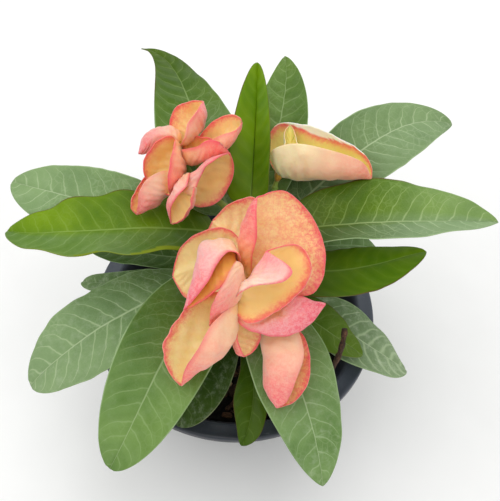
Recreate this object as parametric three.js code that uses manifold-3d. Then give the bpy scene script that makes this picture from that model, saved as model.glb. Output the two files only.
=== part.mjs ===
// Crown of thorns (Euphorbia milii hybrid) in a squat round pot.
// Millimetres, +Z up, the front of the plant towards -Y.
// The origin is the centre of the pot's underside.
import * as THREE from "three";
import { mergeVertices } from "three/addons/utils/BufferGeometryUtils.js";
import Module from "manifold-3d";

const wasm = await Module();
wasm.setup();

// ---------------------------------------------------------------- dimensions

// Clear space left between pieces that touch in the real plant.
const GAP = 0.3;

const POT = {
  height: 76,
  rimRadius: 75,
  lipWidth: 8,
  lipDrop: 4,
  lipThickness: 1.8,
  wall: 1.9,
  baseRadius: 45,
  floor: 2.4,
  rounding: 1.2,
  sides: 36,
  drainHoles: 6,
  drainRadius: 4,
  drainCircle: 30,
  drainSides: 16,
};

// chipLeast and chipMost: sizes of the bark chips. chipTilt: steepest lean of a chip, in radians.
const SOIL = {
  top: 62,
  unevenness: 1.1,
  rippleLength: 44,
  moundHeight: 1.6,
  moundRadius: 22,
  edgeDrop: 1.6,
  sides: 28,
  rings: 3,
  chips: 26,
  chipLeast: [5, 3.5, 3],
  chipMost: [11, 7.5, 5.5],
  chipTilt: 0.35,
  chipEdge: 7,
  seed: 4711,
};

// knob and knobTurn: height of the ridges on the bark, and how fast they wind, in degrees per mm.
const STEM = {
  foot: 26,
  top: 152,
  lean: 4,
  bow: 1.5,
  lowRadius: 8,
  highRadius: 6,
  endShare: 0.72,
  soilLevel: 60,
  sides: 12,
  step: 6,
  knob: 0.7,
  knobs: 3,
  knobTurn: 20,
};

// Thorns stand in pairs on a spiral. Above crownStart they are short, because the leaves are close there,
// and none stands within leafHeight and leafTurn (mm and degrees) of the foot of a leaf.
const THORN = {
  firstHeight: 67,
  spacing: 3.7,
  count: 23,
  goldenAngle: 137.5,
  pairSpread: 15,
  longest: 16,
  shortest: 9,
  leastRise: 8,
  mostRise: 30,
  crownStart: 94,
  crownLength: 6,
  leafHeight: 9,
  leafTurn: 32,
  rootRadius: 1.3,
  rootDepth: 2.5,
  sides: 4,
  seed: 97,
};

const TWIG = {
  foot: [46, -28, 48],
  elbow: [51, -41, 100],
  tip: [52, -36, 126],
  lowRadius: 1.6,
  highRadius: 1.3,
  sides: 7,
  steps: 6,
};

// stalkShare: share of a leaf's length that is its stalk. droopPower and hookPower: how late the bend and
// the hook come. waveShift: how far the waves of the right edge run ahead of the left one's, in radians.
// foldStart, waveStart, waveEnd, stalkFade: how quickly each comes or goes along the leaf.
const LEAF = {
  thickness: 0.9,
  stalkHalfWidth: 1.6,
  stalkShare: 0.1,
  stalkFade: 4,
  rootDepth: 1,
  tipHalfWidth: 0.7,
  droopPower: 1.3,
  hookPower: 4,
  foldStart: 3,
  waveStart: 2.5,
  waveEnd: 4,
  waveShift: 1.9,
  rows: 12,
  columns: 4,
};

// firstShare and lastShare: where along its curves the blade of a bract starts and ends, which leaves its
// ends blunt.
const BRACT = {
  thickness: 0.8,
  firstShare: 0.04,
  lastShare: 0.98,
  rows: 10,
  halfColumns: 2,
};

// opensFrom: the cups face away from this point inside the crown.
const CUP = {
  radius: 2.1,
  footShare: 0.55,
  shoulder: 0.4,
  height: 2.8,
  depth: 2.2,
  glands: 5,
  glandRelief: 0.4,
  opensFrom: [4, 0, 90],
};

// One entry for each leaf. height: where it leaves the stem. heading: degrees from +X, counter-clockwise.
// rise: angle above level at the stem. droop: how far it bends down by the tip. sweep and hook: turn of
// the heading, even along the leaf and only near the tip. fold: slope of each half above the midrib.
// The fullness values shape the outline towards the base and the tip.
const LEAVES = {
  leaf_back_left: {
    height: 134, heading: 128, rise: 33, droop: 53, sweep: -37, hook: 62, length: 128, width: 42,
    roll: 0, twist: -6, fold: 8, baseFullness: 0.45, tipFullness: 1.25, skew: -0.11, wave: 1.0, waves: 2,
  },
  leaf_left_upper: {
    height: 128, heading: 172, rise: 15, droop: 30, sweep: -3, hook: -14, length: 119, width: 38,
    roll: 8, twist: 6, fold: 7, baseFullness: 0.75, tipFullness: 0.65, skew: -0.04, wave: 0.8, waves: 2,
  },
  leaf_left_bright: {
    height: 141, heading: 182, rise: 7, droop: 28, sweep: 14, hook: -38, length: 113, width: 39,
    roll: -7, twist: 6, fold: 14, baseFullness: 0.4, tipFullness: 0.6, skew: 0.03, wave: 1.6, waves: 4.15,
  },
  leaf_upright_bright: {
    height: 147, heading: 93, rise: 44, droop: 31, sweep: -1, hook: 3, length: 77, width: 23,
    roll: 3, twist: -4, fold: 34, baseFullness: 0.25, tipFullness: 0.65, skew: -0.2, wave: 0.6, waves: 2,
  },
  leaf_back_centre: {
    height: 130, heading: 78, rise: 30, droop: 20, sweep: 5, hook: 18, length: 101, width: 30,
    roll: 6, twist: 4, fold: 8, baseFullness: 0.65, tipFullness: 0.8, skew: 0, wave: 0.8, waves: 2,
  },
  leaf_back_right: {
    height: 129, heading: 39, rise: 31, droop: 48, sweep: 18, hook: -54, length: 128, width: 39,
    roll: -2, twist: 0, fold: 7, baseFullness: 0.8, tipFullness: 0.7, skew: 0.06, wave: 0.8, waves: 2,
  },
  leaf_right_bright: {
    height: 142, heading: 8, rise: 12, droop: 20, sweep: -2, hook: 6, length: 115, width: 37,
    roll: 4, twist: -4, fold: 24, baseFullness: 0.45, tipFullness: 0.75, skew: -0.16, wave: 1.0, waves: 2.5,
  },
  leaf_right_deep: {
    height: 130, heading: -35, rise: 10, droop: 8, sweep: 92, hook: -40, length: 86, width: 29,
    roll: 5, twist: 2, fold: 4, baseFullness: 0.4, tipFullness: 0.65, skew: 0.15, wave: 0.8, waves: 2,
  },
  leaf_right_hidden: {
    height: 118, heading: 15, rise: 13, droop: 55, sweep: 11, hook: -2, length: 72, width: 28,
    roll: 2, twist: 2, fold: 8, baseFullness: 0.8, tipFullness: 0.7, skew: 0, wave: 0.6, waves: 2,
  },
  leaf_behind_bloom: {
    height: 120, heading: 57, rise: 25, droop: 40, sweep: -10, hook: -24, length: 73, width: 28,
    roll: 10, twist: 6, fold: 12, baseFullness: 0.8, tipFullness: 0.7, skew: 0, wave: 0.6, waves: 2,
  },
  leaf_low_right_curved: {
    height: 88, heading: -11, rise: 12, droop: 57, sweep: -25, hook: 44, length: 96, width: 35,
    roll: 2, twist: 15, fold: 2, baseFullness: 0.85, tipFullness: 0.7, skew: 0, wave: 1.4, waves: 2.5,
  },
  leaf_low_right_short: {
    height: 106, heading: -32, rise: -3, droop: 22, sweep: 13, hook: 0, length: 68, width: 26,
    roll: -4, twist: 18, fold: 6, baseFullness: 0.65, tipFullness: 0.65, skew: 0, wave: 0.8, waves: 2,
  },
  leaf_front_right: {
    height: 118, heading: -66, rise: 15, droop: 56, sweep: 3, hook: -12, length: 113, width: 38,
    roll: 3, twist: 4, fold: 5, baseFullness: 0.65, tipFullness: 0.75, skew: 0.05, wave: 1.2, waves: 2.5,
  },
  leaf_front_narrow: {
    height: 106, heading: -79, rise: 9, droop: 45, sweep: 2, hook: -40, length: 84, width: 17,
    roll: 5, twist: 3, fold: 12, baseFullness: 1.3, tipFullness: 0.65, skew: 0, wave: 0.8, waves: 2,
  },
  leaf_front_dark: {
    height: 102, heading: -105, rise: 9, droop: 52, sweep: -1, hook: -9, length: 78, width: 33,
    roll: 0, twist: 0, fold: 14, baseFullness: 0.9, tipFullness: 0.65, skew: 0, wave: 1.0, waves: 2.5,
  },
  leaf_front_left: {
    height: 124, heading: -122, rise: 16, droop: 66, sweep: 24, hook: -28, length: 120, width: 42,
    roll: 4, twist: 4, fold: 10, baseFullness: 0.45, tipFullness: 0.6, skew: 0, wave: 0.8, waves: 2,
  },
  leaf_low_left: {
    height: 114, heading: -146, rise: 14, droop: 60, sweep: 0, hook: 0, length: 118, width: 41,
    roll: 0, twist: 0, fold: 7, baseFullness: 0.75, tipFullness: 0.6, skew: -0.04, wave: 1.2, waves: 2.5,
  },
  leaf_left_folded: {
    height: 104, heading: 188, rise: 5, droop: 41, sweep: 0, hook: -45, length: 83, width: 12,
    roll: 8, twist: 0, fold: 8, baseFullness: 0.9, tipFullness: 0.45, skew: 0, wave: 0.8, waves: 2,
  },
  leaf_left_shaded: {
    height: 115, heading: 182, rise: 5, droop: 16, sweep: -7, hook: -2, length: 73, width: 22,
    roll: -3, twist: 0, fold: 8, baseFullness: 0.8, tipFullness: 0.7, skew: 0.2, wave: 0.8, waves: 2,
  },
};

// One entry for each bloom: its bracts round a small cup. The points lie on the keel and on the left and
// right margins of each bract, from the cup to the tip. cupLeft, cupRight: how far each half bellies out.
const BLOOMS = {
  bloom_front_1: {
    centre: [7, -33, 154],
    bracts: [
      {
        keel: [[1, -28, 164], [0, -21, 173], [3, -14, 181]],
        left: [[6, -30, 168], [7, -26, 177], [6, -20, 185]],
        right: [[19, -35, 150], [34, -36, 154], [38, -24, 163], [31, -11, 174], [18, -5, 183]],
        tip: [6, -10, 184], cupLeft: 1.5, cupRight: 4,
      },
      {
        keel: [[-2, -17, 158]],
        left: [[-3, -25, 150], [-16, -18, 152]],
        right: [[10, -12, 162], [6, 0, 170], [-5, -2, 168]],
        tip: [-13, -9, 163], cupLeft: 2, cupRight: 3,
      },
    ],
  },
  bloom_front_2: {
    centre: [0, -29, 157],
    bracts: [
      {
        keel: [[-9, -23, 152], [-19, -27, 151]],
        left: [[-5, -34, 146], [-13, -41, 144], [-22, -39, 146]],
        right: [[0, -16, 160], [-8, -13, 164], [-19, -16, 162], [-26, -23, 157]],
        tip: [-28, -32, 150], cupLeft: 2, cupRight: 2,
      },
      {
        keel: [[-3, -24, 170], [-15, -26, 171], [-17, -35, 169], [-18, -45, 165]],
        left: [[0, -40, 172], [-5, -47, 170], [-11, -51, 165]],
        right: [[1, -35, 175], [-4, -35, 178], [-8, -40, 176], [-11, -47, 173], [-16, -52, 166]],
        tip: [-20, -54, 159], cupLeft: 1, cupRight: 1.5,
      },
      {
        keel: [[2, -39, 173], [-2, -50, 168]],
        left: [[0, -39, 177], [-4, -49, 175], [-8, -55, 167]],
        right: [[4, -38, 163], [3, -45, 158], [-3, -52, 153]],
        tip: [-9, -58, 155], cupLeft: 0.5, cupRight: 0.5,
      },
    ],
  },
  bloom_front_3: {
    centre: [2, -42, 152],
    bracts: [
      {
        keel: [[3, -51, 146], [1, -60, 143], [-5, -66, 139], [-12, -69, 135]],
        left: [[-1, -51, 160], [-7, -59, 160], [-12, -69, 155], [-17, -73, 144]],
        right: [[-8, -43, 158], [-18, -49, 156], [-26, -60, 150], [-27, -68, 144], [-23, -73, 136]],
        tip: [-19, -75, 131], cupLeft: 3, cupRight: 5,
      },
      {
        keel: [[2, -42, 162], [7, -38, 168]],
        left: [[1, -47, 163], [7, -47, 172], [19, -49, 181], [22, -44, 183]],
        right: [
          [2, -50, 154], [9, -55, 156], [21, -48, 160], [29, -41, 166],
          [31, -34, 173], [25, -28, 177], [18, -30, 178],
        ],
        tip: [12, -31, 175], cupLeft: 1.5, cupRight: 6,
      },
    ],
  },
  bloom_front_4: {
    centre: [14, -44, 148],
    bracts: [
      {
        keel: [[22, -49, 154], [31, -46, 154]],
        left: [[3, -50, 151], [7, -55, 150], [22, -56, 148], [33, -50, 149]],
        right: [[18, -39, 153], [27, -39, 155], [35, -39, 153]],
        tip: [40, -39, 151], cupLeft: 0.5, cupRight: 0.5,
      },
      {
        keel: [[2, -49, 143], [1, -55, 140], [3, -60, 138]],
        left: [[13, -47, 143], [13, -53, 139], [10, -59, 137]],
        right: [[4, -49, 146], [3, -56, 144], [5, -60, 141]],
        tip: [7, -61, 137], cupLeft: 2, cupRight: 0.5,
      },
    ],
  },
  bloom_front_5: {
    centre: [22, -43, 138],
    bracts: [
      {
        keel: [[14, -49, 136], [15, -59, 134], [17, -71, 129]],
        left: [[32, -47, 136], [36, -59, 134], [35, -70, 133], [30, -76, 128]],
        right: [[29, -48, 141], [32, -60, 143], [30, -69, 140], [27, -77, 132]],
        tip: [23, -79, 127], cupLeft: 2, cupRight: 4,
      },
      {
        keel: [[29, -39, 142]],
        left: [[26, -33, 142], [31, -32, 143]],
        right: [[30, -43, 141], [34, -40, 142]],
        tip: [35, -33, 143], cupLeft: 1, cupRight: 1,
      },
    ],
  },
  bloom_left_1: {
    centre: [-33, 28, 167],
    bracts: [
      {
        keel: [[-25, 31, 172], [-21, 37, 179]],
        left: [[-35, 31, 165], [-38, 38, 170], [-36, 43, 177], [-29, 43, 183]],
        right: [[-29, 20, 182], [-27, 24, 189], [-24, 31, 190]],
        tip: [-23, 43, 184], cupLeft: 4, cupRight: 2,
      },
      {
        keel: [[-30, 22, 167], [-28, 16, 165], [-31, 10, 162]],
        left: [[-33, 22, 179], [-33, 13, 180], [-34, 6, 175], [-34, 4, 167]],
        right: [[-35, 24, 179], [-42, 21, 177], [-46, 17, 172], [-47, 13, 166], [-42, 9, 159]],
        tip: [-34, 6, 159], cupLeft: 2, cupRight: 6,
      },
      {
        keel: [[-34, 28, 175], [-43, 27, 175]],
        left: [[-33, 36, 170], [-42, 38, 169], [-50, 35, 166]],
        right: [[-34, 28, 168], [-41, 28, 167], [-48, 25, 164]],
        tip: [-51, 24, 165], cupLeft: 1.5, cupRight: 1.5,
      },
    ],
  },
  bloom_left_2: {
    centre: [-26, 30, 164],
    bracts: [
      {
        keel: [[-16, 21, 174], [-8, 21, 180]],
        left: [[-24, 28, 174], [-18, 31, 182], [-10, 32, 188], [-5, 30, 189]],
        right: [[-19, 21, 180], [-12, 19, 188], [-6, 20, 191]],
        tip: [-4, 29, 187], cupLeft: 4, cupRight: 2,
      },
      {
        keel: [[-27, 21, 165], [-19, 19, 170], [-12, 18, 174]],
        left: [[-30, 25, 170], [-29, 26, 175], [-24, 25, 179], [-16, 23, 181]],
        right: [[-30, 19, 176], [-23, 15, 183], [-18, 16, 187], [-12, 17, 185]],
        tip: [-8, 18, 178], cupLeft: 1.5, cupRight: 3,
      },
    ],
  },
  bloom_left_3: {
    centre: [-30, 22, 155],
    bracts: [
      {
        keel: [[-33, 15, 157], [-35, 10, 154], [-42, 4, 151]],
        left: [[-36, 13, 168], [-43, 8, 168], [-47, 4, 163], [-48, 1, 156]],
        right: [[-37, 20, 162], [-45, 15, 162], [-50, 8, 158], [-52, 2, 153]],
        tip: [-49, 0, 150], cupLeft: 3, cupRight: 2,
      },
    ],
  },
  bloom_left_4: {
    centre: [-25, 9, 161],
    bracts: [
      {
        keel: [[-28, 4, 166], [-26, 7, 171], [-18, 12, 178]],
        left: [[-23, 0, 168], [-21, 3, 174], [-18, 4, 183], [-13, 6, 188]],
        right: [[-22, 3, 157], [-13, 4, 159], [-7, 10, 166], [-6, 14, 175]],
        tip: [-8, 15, 182], cupLeft: 0.5, cupRight: 4,
      },
      {
        keel: [[-28, 10, 168], [-32, 4, 166], [-34, -1, 160]],
        left: [[-22, -1, 175], [-22, -8, 176], [-23, -8, 169], [-27, -7, 158]],
        right: [[-25, 8, 174], [-26, 1, 174], [-29, -3, 171], [-32, -5, 164]],
        tip: [-32, -5, 152], cupLeft: 6, cupRight: 1,
      },
    ],
  },
  bloom_right_1: {
    centre: [15, 27, 155],
    bracts: [
      {
        keel: [[26, 27, 154], [42, 27, 157]],
        left: [[8, 40, 158], [12, 50, 166], [25, 47, 171], [39, 42, 171], [53, 36, 168], [58, 31, 164]],
        right: [[10, 29, 168], [19, 28, 177], [34, 26, 178], [52, 27, 171]],
        tip: [59, 27, 160], cupLeft: 4, cupRight: 5,
      },
      {
        keel: [[19, 35, 165]],
        left: [[16, 31, 168], [16, 41, 170]],
        right: [[22, 32, 168], [21, 42, 170]],
        tip: [18, 45, 172], cupLeft: 1.5, cupRight: 1.5,
      },
    ],
  },
};

// Flower stalks: a trunk from the crown of the stem, and a short branch to each bloom.
const STALKS = {
  stalk_front: {
    trunk: [[4, -1, 146], [6, -14, 146], [8, -28, 141]],
    blooms: ["bloom_front_1", "bloom_front_2", "bloom_front_3", "bloom_front_4", "bloom_front_5"],
  },
  stalk_left: {
    trunk: [[3, 1, 144], [-8, 9, 150], [-22, 18, 152]],
    blooms: ["bloom_left_1", "bloom_left_2", "bloom_left_3", "bloom_left_4"],
  },
  stalk_right: {
    trunk: [[5, 1, 143], [11, 8, 147], [14, 17, 148]],
    blooms: ["bloom_right_1"],
  },
};
// approach: how far below its cup a branch turns towards it.
const STALK = {
  lowRadius: 2,
  highRadius: 1.4,
  branchRadius: 1.1,
  approach: 7,
  sides: 5,
  trunkSteps: 4,
  branchSteps: 3,
};

const FINISHES = {
  pot: ["#262a33", 0.42],
  soil: ["#2b211b", 0.95],
  stem: ["#6f6558", 0.85],
  twig: ["#4a3a2e", 0.9],
  stalk: ["#7f9a3e", 0.55],
  bloom: ["#f5a27c", 0.6],
  dusty: ["#6f9160", 0.62],
  glossy: ["#4f8a14", 0.32],
};
const GLOSSY_LEAVES = new Set([
  "leaf_left_bright", "leaf_upright_bright", "leaf_right_bright", "leaf_right_deep",
  "leaf_low_right_short", "leaf_front_narrow", "leaf_front_dark",
]);

// ------------------------------------------------------------------- helpers

const rad = THREE.MathUtils.degToRad;
const { smoothstep, lerp } = THREE.MathUtils;
const vec = (p) => new THREE.Vector3(...p);

// A small seeded generator of numbers in [0, 1).
function drawFrom(seed) {
  let state = seed >>> 0;
  return () => {
    state = (Math.imul(state, 1664525) + 1013904223) >>> 0;
    return state / 4294967296;
  };
}

function solidOf(geometry) {
  const bare = new THREE.BufferGeometry();
  bare.setAttribute("position", geometry.getAttribute("position"));
  if (geometry.index) bare.setIndex(geometry.index);
  const merged = mergeVertices(bare, 1e-4);
  return new wasm.Manifold(
    new wasm.Mesh({
      numProp: 3,
      vertProperties: new Float32Array(merged.attributes.position.array),
      triVerts: new Uint32Array(merged.index.array),
    }),
  );
}

function geometryOf(solid) {
  const mesh = solid.getMesh();
  const geometry = new THREE.BufferGeometry();
  geometry.setAttribute("position", new THREE.BufferAttribute(new Float32Array(mesh.vertProperties), 3));
  geometry.setIndex(new THREE.BufferAttribute(new Uint32Array(mesh.triVerts), 1));
  geometry.computeVertexNormals();
  return geometry;
}

function geometryFrom(points, triangles) {
  const geometry = new THREE.BufferGeometry();
  geometry.setAttribute("position", new THREE.Float32BufferAttribute(points.flatMap((p) => p.toArray()), 3));
  geometry.setIndex(triangles);
  return geometry;
}

function largestBody(solid) {
  return solid.decompose().reduce((best, body) => (body.volume() > best.volume() ? body : best));
}

const joined = (solids) => solids.reduce((all, one) => all.add(one));

// A closed body through rings of equal point count, capped at both ends.
// Each ring runs counter-clockwise when seen from the last ring's side.
function loft(rings) {
  const sides = rings[0].length;
  const points = rings.flat();
  const triangles = [];
  for (let ring = 0; ring < rings.length - 1; ring++) {
    for (let side = 0; side < sides; side++) {
      const next = (side + 1) % sides;
      const low = ring * sides;
      const high = low + sides;
      triangles.push(low + side, low + next, high + next, low + side, high + next, high + side);
    }
  }
  const middleOf = (ring) => ring.reduce((sum, p) => sum.add(p), new THREE.Vector3()).divideScalar(sides);
  const foot = points.push(middleOf(rings[0])) - 1;
  const head = points.push(middleOf(rings.at(-1))) - 1;
  const last = (rings.length - 1) * sides;
  for (let side = 0; side < sides; side++) {
    const next = (side + 1) % sides;
    triangles.push(foot, next, side, head, last + side, last + next);
  }
  return solidOf(geometryFrom(points, triangles));
}

// A round rod along the smooth curve through three points.
function rod(path, lowRadius, highRadius, sides, steps) {
  const [first, middle, last] = path.map(vec);
  const control = middle.multiplyScalar(2).addScaledVector(first, -0.5).addScaledVector(last, -0.5);
  const curve = new THREE.QuadraticBezierCurve3(first, control, last);
  const frames = curve.computeFrenetFrames(steps, false);
  const rings = [];
  for (let step = 0; step <= steps; step++) {
    const centre = curve.getPoint(step / steps);
    const radius = lerp(lowRadius, highRadius, step / steps);
    const ring = [];
    for (let side = 0; side < sides; side++) {
      const turn = (2 * Math.PI * side) / sides;
      ring.push(
        centre
          .clone()
          .addScaledVector(frames.normals[step], radius * Math.cos(turn))
          .addScaledVector(frames.binormals[step], radius * Math.sin(turn)),
      );
    }
    rings.push(ring);
  }
  return loft(rings);
}

// A thin closed blade from a grid of points. Rows run from base to tip and columns from left to right.
// Both faces are split into the same triangles.
function blade(grid, thickness, grow) {
  const rows = grid.length;
  const columns = grid[0].length;
  const half = thickness / 2 + grow;
  const top = [];
  const bottom = [];
  for (let i = 0; i < rows; i++) {
    for (let j = 0; j < columns; j++) {
      const across = grid[i][Math.min(j + 1, columns - 1)].clone().sub(grid[i][Math.max(j - 1, 0)]);
      const along = grid[Math.min(i + 1, rows - 1)][j].clone().sub(grid[Math.max(i - 1, 0)][j]);
      const normal = across.clone().cross(along).normalize();
      const spread = (j === 0 ? -1 : j === columns - 1 ? 1 : 0) * grow;
      const stretch = (i === 0 ? -1 : i === rows - 1 ? 1 : 0) * grow;
      const centre = grid[i][j]
        .clone()
        .addScaledVector(across.normalize(), spread)
        .addScaledVector(along.normalize(), stretch);
      top.push(centre.clone().addScaledVector(normal, half));
      bottom.push(centre.clone().addScaledVector(normal, -half));
    }
  }
  const count = rows * columns;
  const triangles = [];
  for (let i = 0; i < rows - 1; i++) {
    for (let j = 0; j < columns - 1; j++) {
      const a = i * columns + j;
      const b = a + 1;
      const c = b + columns;
      const d = a + columns;
      triangles.push(a, b, c, a, c, d);
      triangles.push(count + a, count + c, count + b, count + a, count + d, count + c);
    }
  }
  const edge = [];
  for (let j = 0; j < columns - 1; j++) edge.push(j);
  for (let i = 0; i < rows - 1; i++) edge.push(i * columns + columns - 1);
  for (let j = columns - 1; j > 0; j--) edge.push((rows - 1) * columns + j);
  for (let i = rows - 1; i > 0; i--) edge.push(i * columns);
  edge.forEach((a, k) => {
    const b = edge[(k + 1) % edge.length];
    triangles.push(a, count + b, b, a, count + a, count + b);
  });
  return solidOf(geometryFrom([...top, ...bottom], triangles));
}

// -------------------------------------------------------------- pot and soil

// Outer radius of the wall at a height.
const potRadius = (z) =>
  lerp(POT.baseRadius, POT.rimRadius - POT.lipWidth, z / (POT.height - POT.lipThickness));

function pot() {
  const { height, rimRadius, lipWidth, lipDrop, lipThickness, wall, baseRadius, floor, rounding } = POT;
  const inside = (z) => potRadius(z) - wall;
  const underLip = height - lipThickness;
  const profile = [
    [0, 0],
    [baseRadius - rounding, 0],
    [baseRadius, rounding],
    [potRadius(underLip), underLip],
    [rimRadius - lipThickness, underLip],
    [rimRadius - lipThickness, height - lipDrop],
    [rimRadius, height - lipDrop],
    [rimRadius, height - rounding],
    [rimRadius - rounding, height],
    [rimRadius - lipWidth, height],
    [inside(underLip - rounding), underLip - rounding],
    [inside(floor + rounding), floor + rounding],
    [inside(floor) - rounding, floor],
    [0, floor],
  ].map(([x, y]) => new THREE.Vector2(x, y));
  const shell = solidOf(new THREE.LatheGeometry(profile, POT.sides).rotateX(Math.PI / 2));
  const holes = [];
  for (let k = 0; k < POT.drainHoles; k++) {
    const turn = (2 * Math.PI * (k + 0.5)) / POT.drainHoles;
    const hole = new THREE.CylinderGeometry(POT.drainRadius, POT.drainRadius, 4 * floor, POT.drainSides);
    hole.rotateX(Math.PI / 2);
    hole.translate(POT.drainCircle * Math.cos(turn), POT.drainCircle * Math.sin(turn), 0);
    holes.push(solidOf(hole));
  }
  return shell.subtract(joined(holes));
}

// Height of the potting mix at a place, a little uneven and piled up round the stem.
function soilHeight(x, y) {
  const turn = (2 * Math.PI) / SOIL.rippleLength;
  const ripple = Math.sin(turn * x) * Math.cos(turn * y) + Math.sin(turn * (x - y)) / 2;
  const mound = Math.exp(-((Math.hypot(x, y) / SOIL.moundRadius) ** 2));
  return SOIL.top + SOIL.unevenness * ripple + SOIL.moundHeight * mound;
}

function barkChip(draw, reach, turn) {
  const radius = reach * Math.sqrt(draw());
  const [x, y] = [radius * Math.cos(turn), radius * Math.sin(turn)];
  const size = SOIL.chipLeast.map((least, axis) => lerp(least, SOIL.chipMost[axis], draw()));
  const lean = () => SOIL.chipTilt * (2 * draw() - 1);
  const chip = new THREE.BoxGeometry(...size);
  chip.rotateX(lean()).rotateY(lean()).rotateZ(Math.PI * draw()).translate(x, y, soilHeight(x, y));
  return solidOf(chip);
}

function soil() {
  const inside = (z) => potRadius(z) - POT.wall - GAP;
  const corner = POT.floor + POT.rounding;
  const edge = SOIL.top - SOIL.edgeDrop;
  const ringAt = (radius, heightAt) => {
    const ring = [];
    for (let side = 0; side < SOIL.sides; side++) {
      const turn = (2 * Math.PI * side) / SOIL.sides;
      const [x, y] = [radius * Math.cos(turn), radius * Math.sin(turn)];
      ring.push(new THREE.Vector3(x, y, heightAt(x, y)));
    }
    return ring;
  };
  const rings = [
    ringAt(inside(POT.floor) - POT.rounding - GAP, () => POT.floor + GAP),
    ringAt(inside(corner) - GAP, () => corner + GAP),
    ringAt(inside(edge), () => edge),
  ];
  for (let ring = SOIL.rings; ring > 0; ring--) {
    rings.push(ringAt((inside(edge) - GAP) * (ring / SOIL.rings), soilHeight));
  }
  const pieces = [loft(rings)];
  const draw = drawFrom(SOIL.seed);
  for (let k = 0; k < SOIL.chips; k++) {
    pieces.push(barkChip(draw, inside(edge) - SOIL.chipEdge, rad(THORN.goldenAngle * k)));
  }
  return joined(pieces);
}

// ------------------------------------------------------------ stem and thorns

// Share of the way up the part of the stem that shows, from 0 to 1.
const alongStem = (z) => THREE.MathUtils.clamp((z - STEM.soilLevel) / (STEM.top - STEM.soilLevel), 0, 1);
const stemCentre = (z) =>
  new THREE.Vector3(STEM.lean * alongStem(z), STEM.bow * Math.sin(Math.PI * alongStem(z)), z);
const stemRadius = (z) => lerp(STEM.lowRadius, STEM.highRadius, alongStem(z));

// Unit direction with a heading and a rise, both in degrees.
function direction(heading, rise) {
  const [a, e] = [rad(heading), rad(rise)];
  return new THREE.Vector3(Math.cos(e) * Math.cos(a), Math.cos(e) * Math.sin(a), Math.sin(e));
}

function turnBetween(a, b) {
  return Math.abs(((((a - b) % 360) + 540) % 360) - 180);
}

function thorn(height, heading, rise, length, grow) {
  const { rootRadius, rootDepth, sides } = THORN;
  // Growing a cone evenly lengthens it by more than it widens it.
  const slant = Math.hypot(length, rootRadius) / rootRadius;
  const cone = new THREE.ConeGeometry(rootRadius + grow, length + rootDepth + slant * grow, sides);
  cone.translate(0, (length - rootDepth + slant * grow) / 2, 0);
  const pointing = direction(heading, rise);
  cone.applyQuaternion(new THREE.Quaternion().setFromUnitVectors(new THREE.Vector3(0, 1, 0), pointing));
  const start = stemCentre(height).addScaledVector(direction(heading, 0), stemRadius(height));
  return solidOf(cone.translate(...start));
}

function stem(grow = 0) {
  const rings = [];
  for (let z = STEM.foot; z <= STEM.top; z += STEM.step) {
    const centre = stemCentre(z);
    const isEnd = z === STEM.foot || z + STEM.step > STEM.top;
    const radius = stemRadius(z) * (isEnd ? STEM.endShare : 1) + grow;
    const ridge = z > STEM.soilLevel ? STEM.knob : 0;
    const ring = [];
    for (let side = 0; side < STEM.sides; side++) {
      const turn = (360 * side) / STEM.sides;
      const knob = ridge * Math.sin(rad(STEM.knobs * turn + STEM.knobTurn * z));
      ring.push(centre.clone().addScaledVector(direction(turn, 0), radius + knob));
    }
    rings.push(ring);
  }
  const pieces = [loft(rings)];
  const leaves = Object.values(LEAVES);
  const draw = drawFrom(THORN.seed);
  for (let k = 0; k < THORN.count; k++) {
    const height = THORN.firstHeight + k * THORN.spacing;
    const heading = (k * THORN.goldenAngle) % 360;
    const crowded = height > THORN.crownStart;
    for (const side of [-1, 1]) {
      const length = crowded ? THORN.crownLength : lerp(THORN.shortest, THORN.longest, draw());
      const turn = heading + side * THORN.pairSpread;
      const rise = lerp(THORN.leastRise, THORN.mostRise, draw());
      const near = (leaf) =>
        Math.abs(leaf.height - height) < THORN.leafHeight && turnBetween(leaf.heading, turn) < THORN.leafTurn;
      if (leaves.some(near)) continue;
      pieces.push(thorn(height, turn, rise, length, grow));
    }
  }
  return joined(pieces);
}

function twig(grow = 0) {
  const { foot, elbow, tip, lowRadius, highRadius, sides, steps } = TWIG;
  return rod([foot, elbow, tip], lowRadius + grow, highRadius + grow, sides, steps);
}

// --------------------------------------------------------------------- leaves

// Share of the leaf's blade that lies before a place, where s runs from 0 at the stem to 1 at the tip.
const alongBlade = (s) => THREE.MathUtils.clamp((s - LEAF.stalkShare) / (1 - LEAF.stalkShare), 0, 1);

// Width at x, from 0 (base) to 1 (tip), as a share of the full width.
function fullnessAt(x, base, tip) {
  const widest = base / (base + tip);
  return (x ** base * (1 - x) ** tip) / (widest ** base * (1 - widest) ** tip);
}

// Directions along and across a leaf, and up from its face, at a place along it.
function leafFrame(leaf, s) {
  const heading = leaf.heading + leaf.sweep * s + leaf.hook * s ** LEAF.hookPower;
  const along = direction(heading, leaf.rise - leaf.droop * s ** LEAF.droopPower);
  const level = direction(heading - 90, 0);
  const above = level.clone().cross(along);
  const roll = rad(leaf.roll + leaf.twist * s);
  return {
    along,
    across: level.clone().multiplyScalar(Math.cos(roll)).addScaledVector(above, Math.sin(roll)),
    up: above.clone().multiplyScalar(Math.cos(roll)).addScaledVector(level, -Math.sin(roll)),
  };
}

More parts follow.
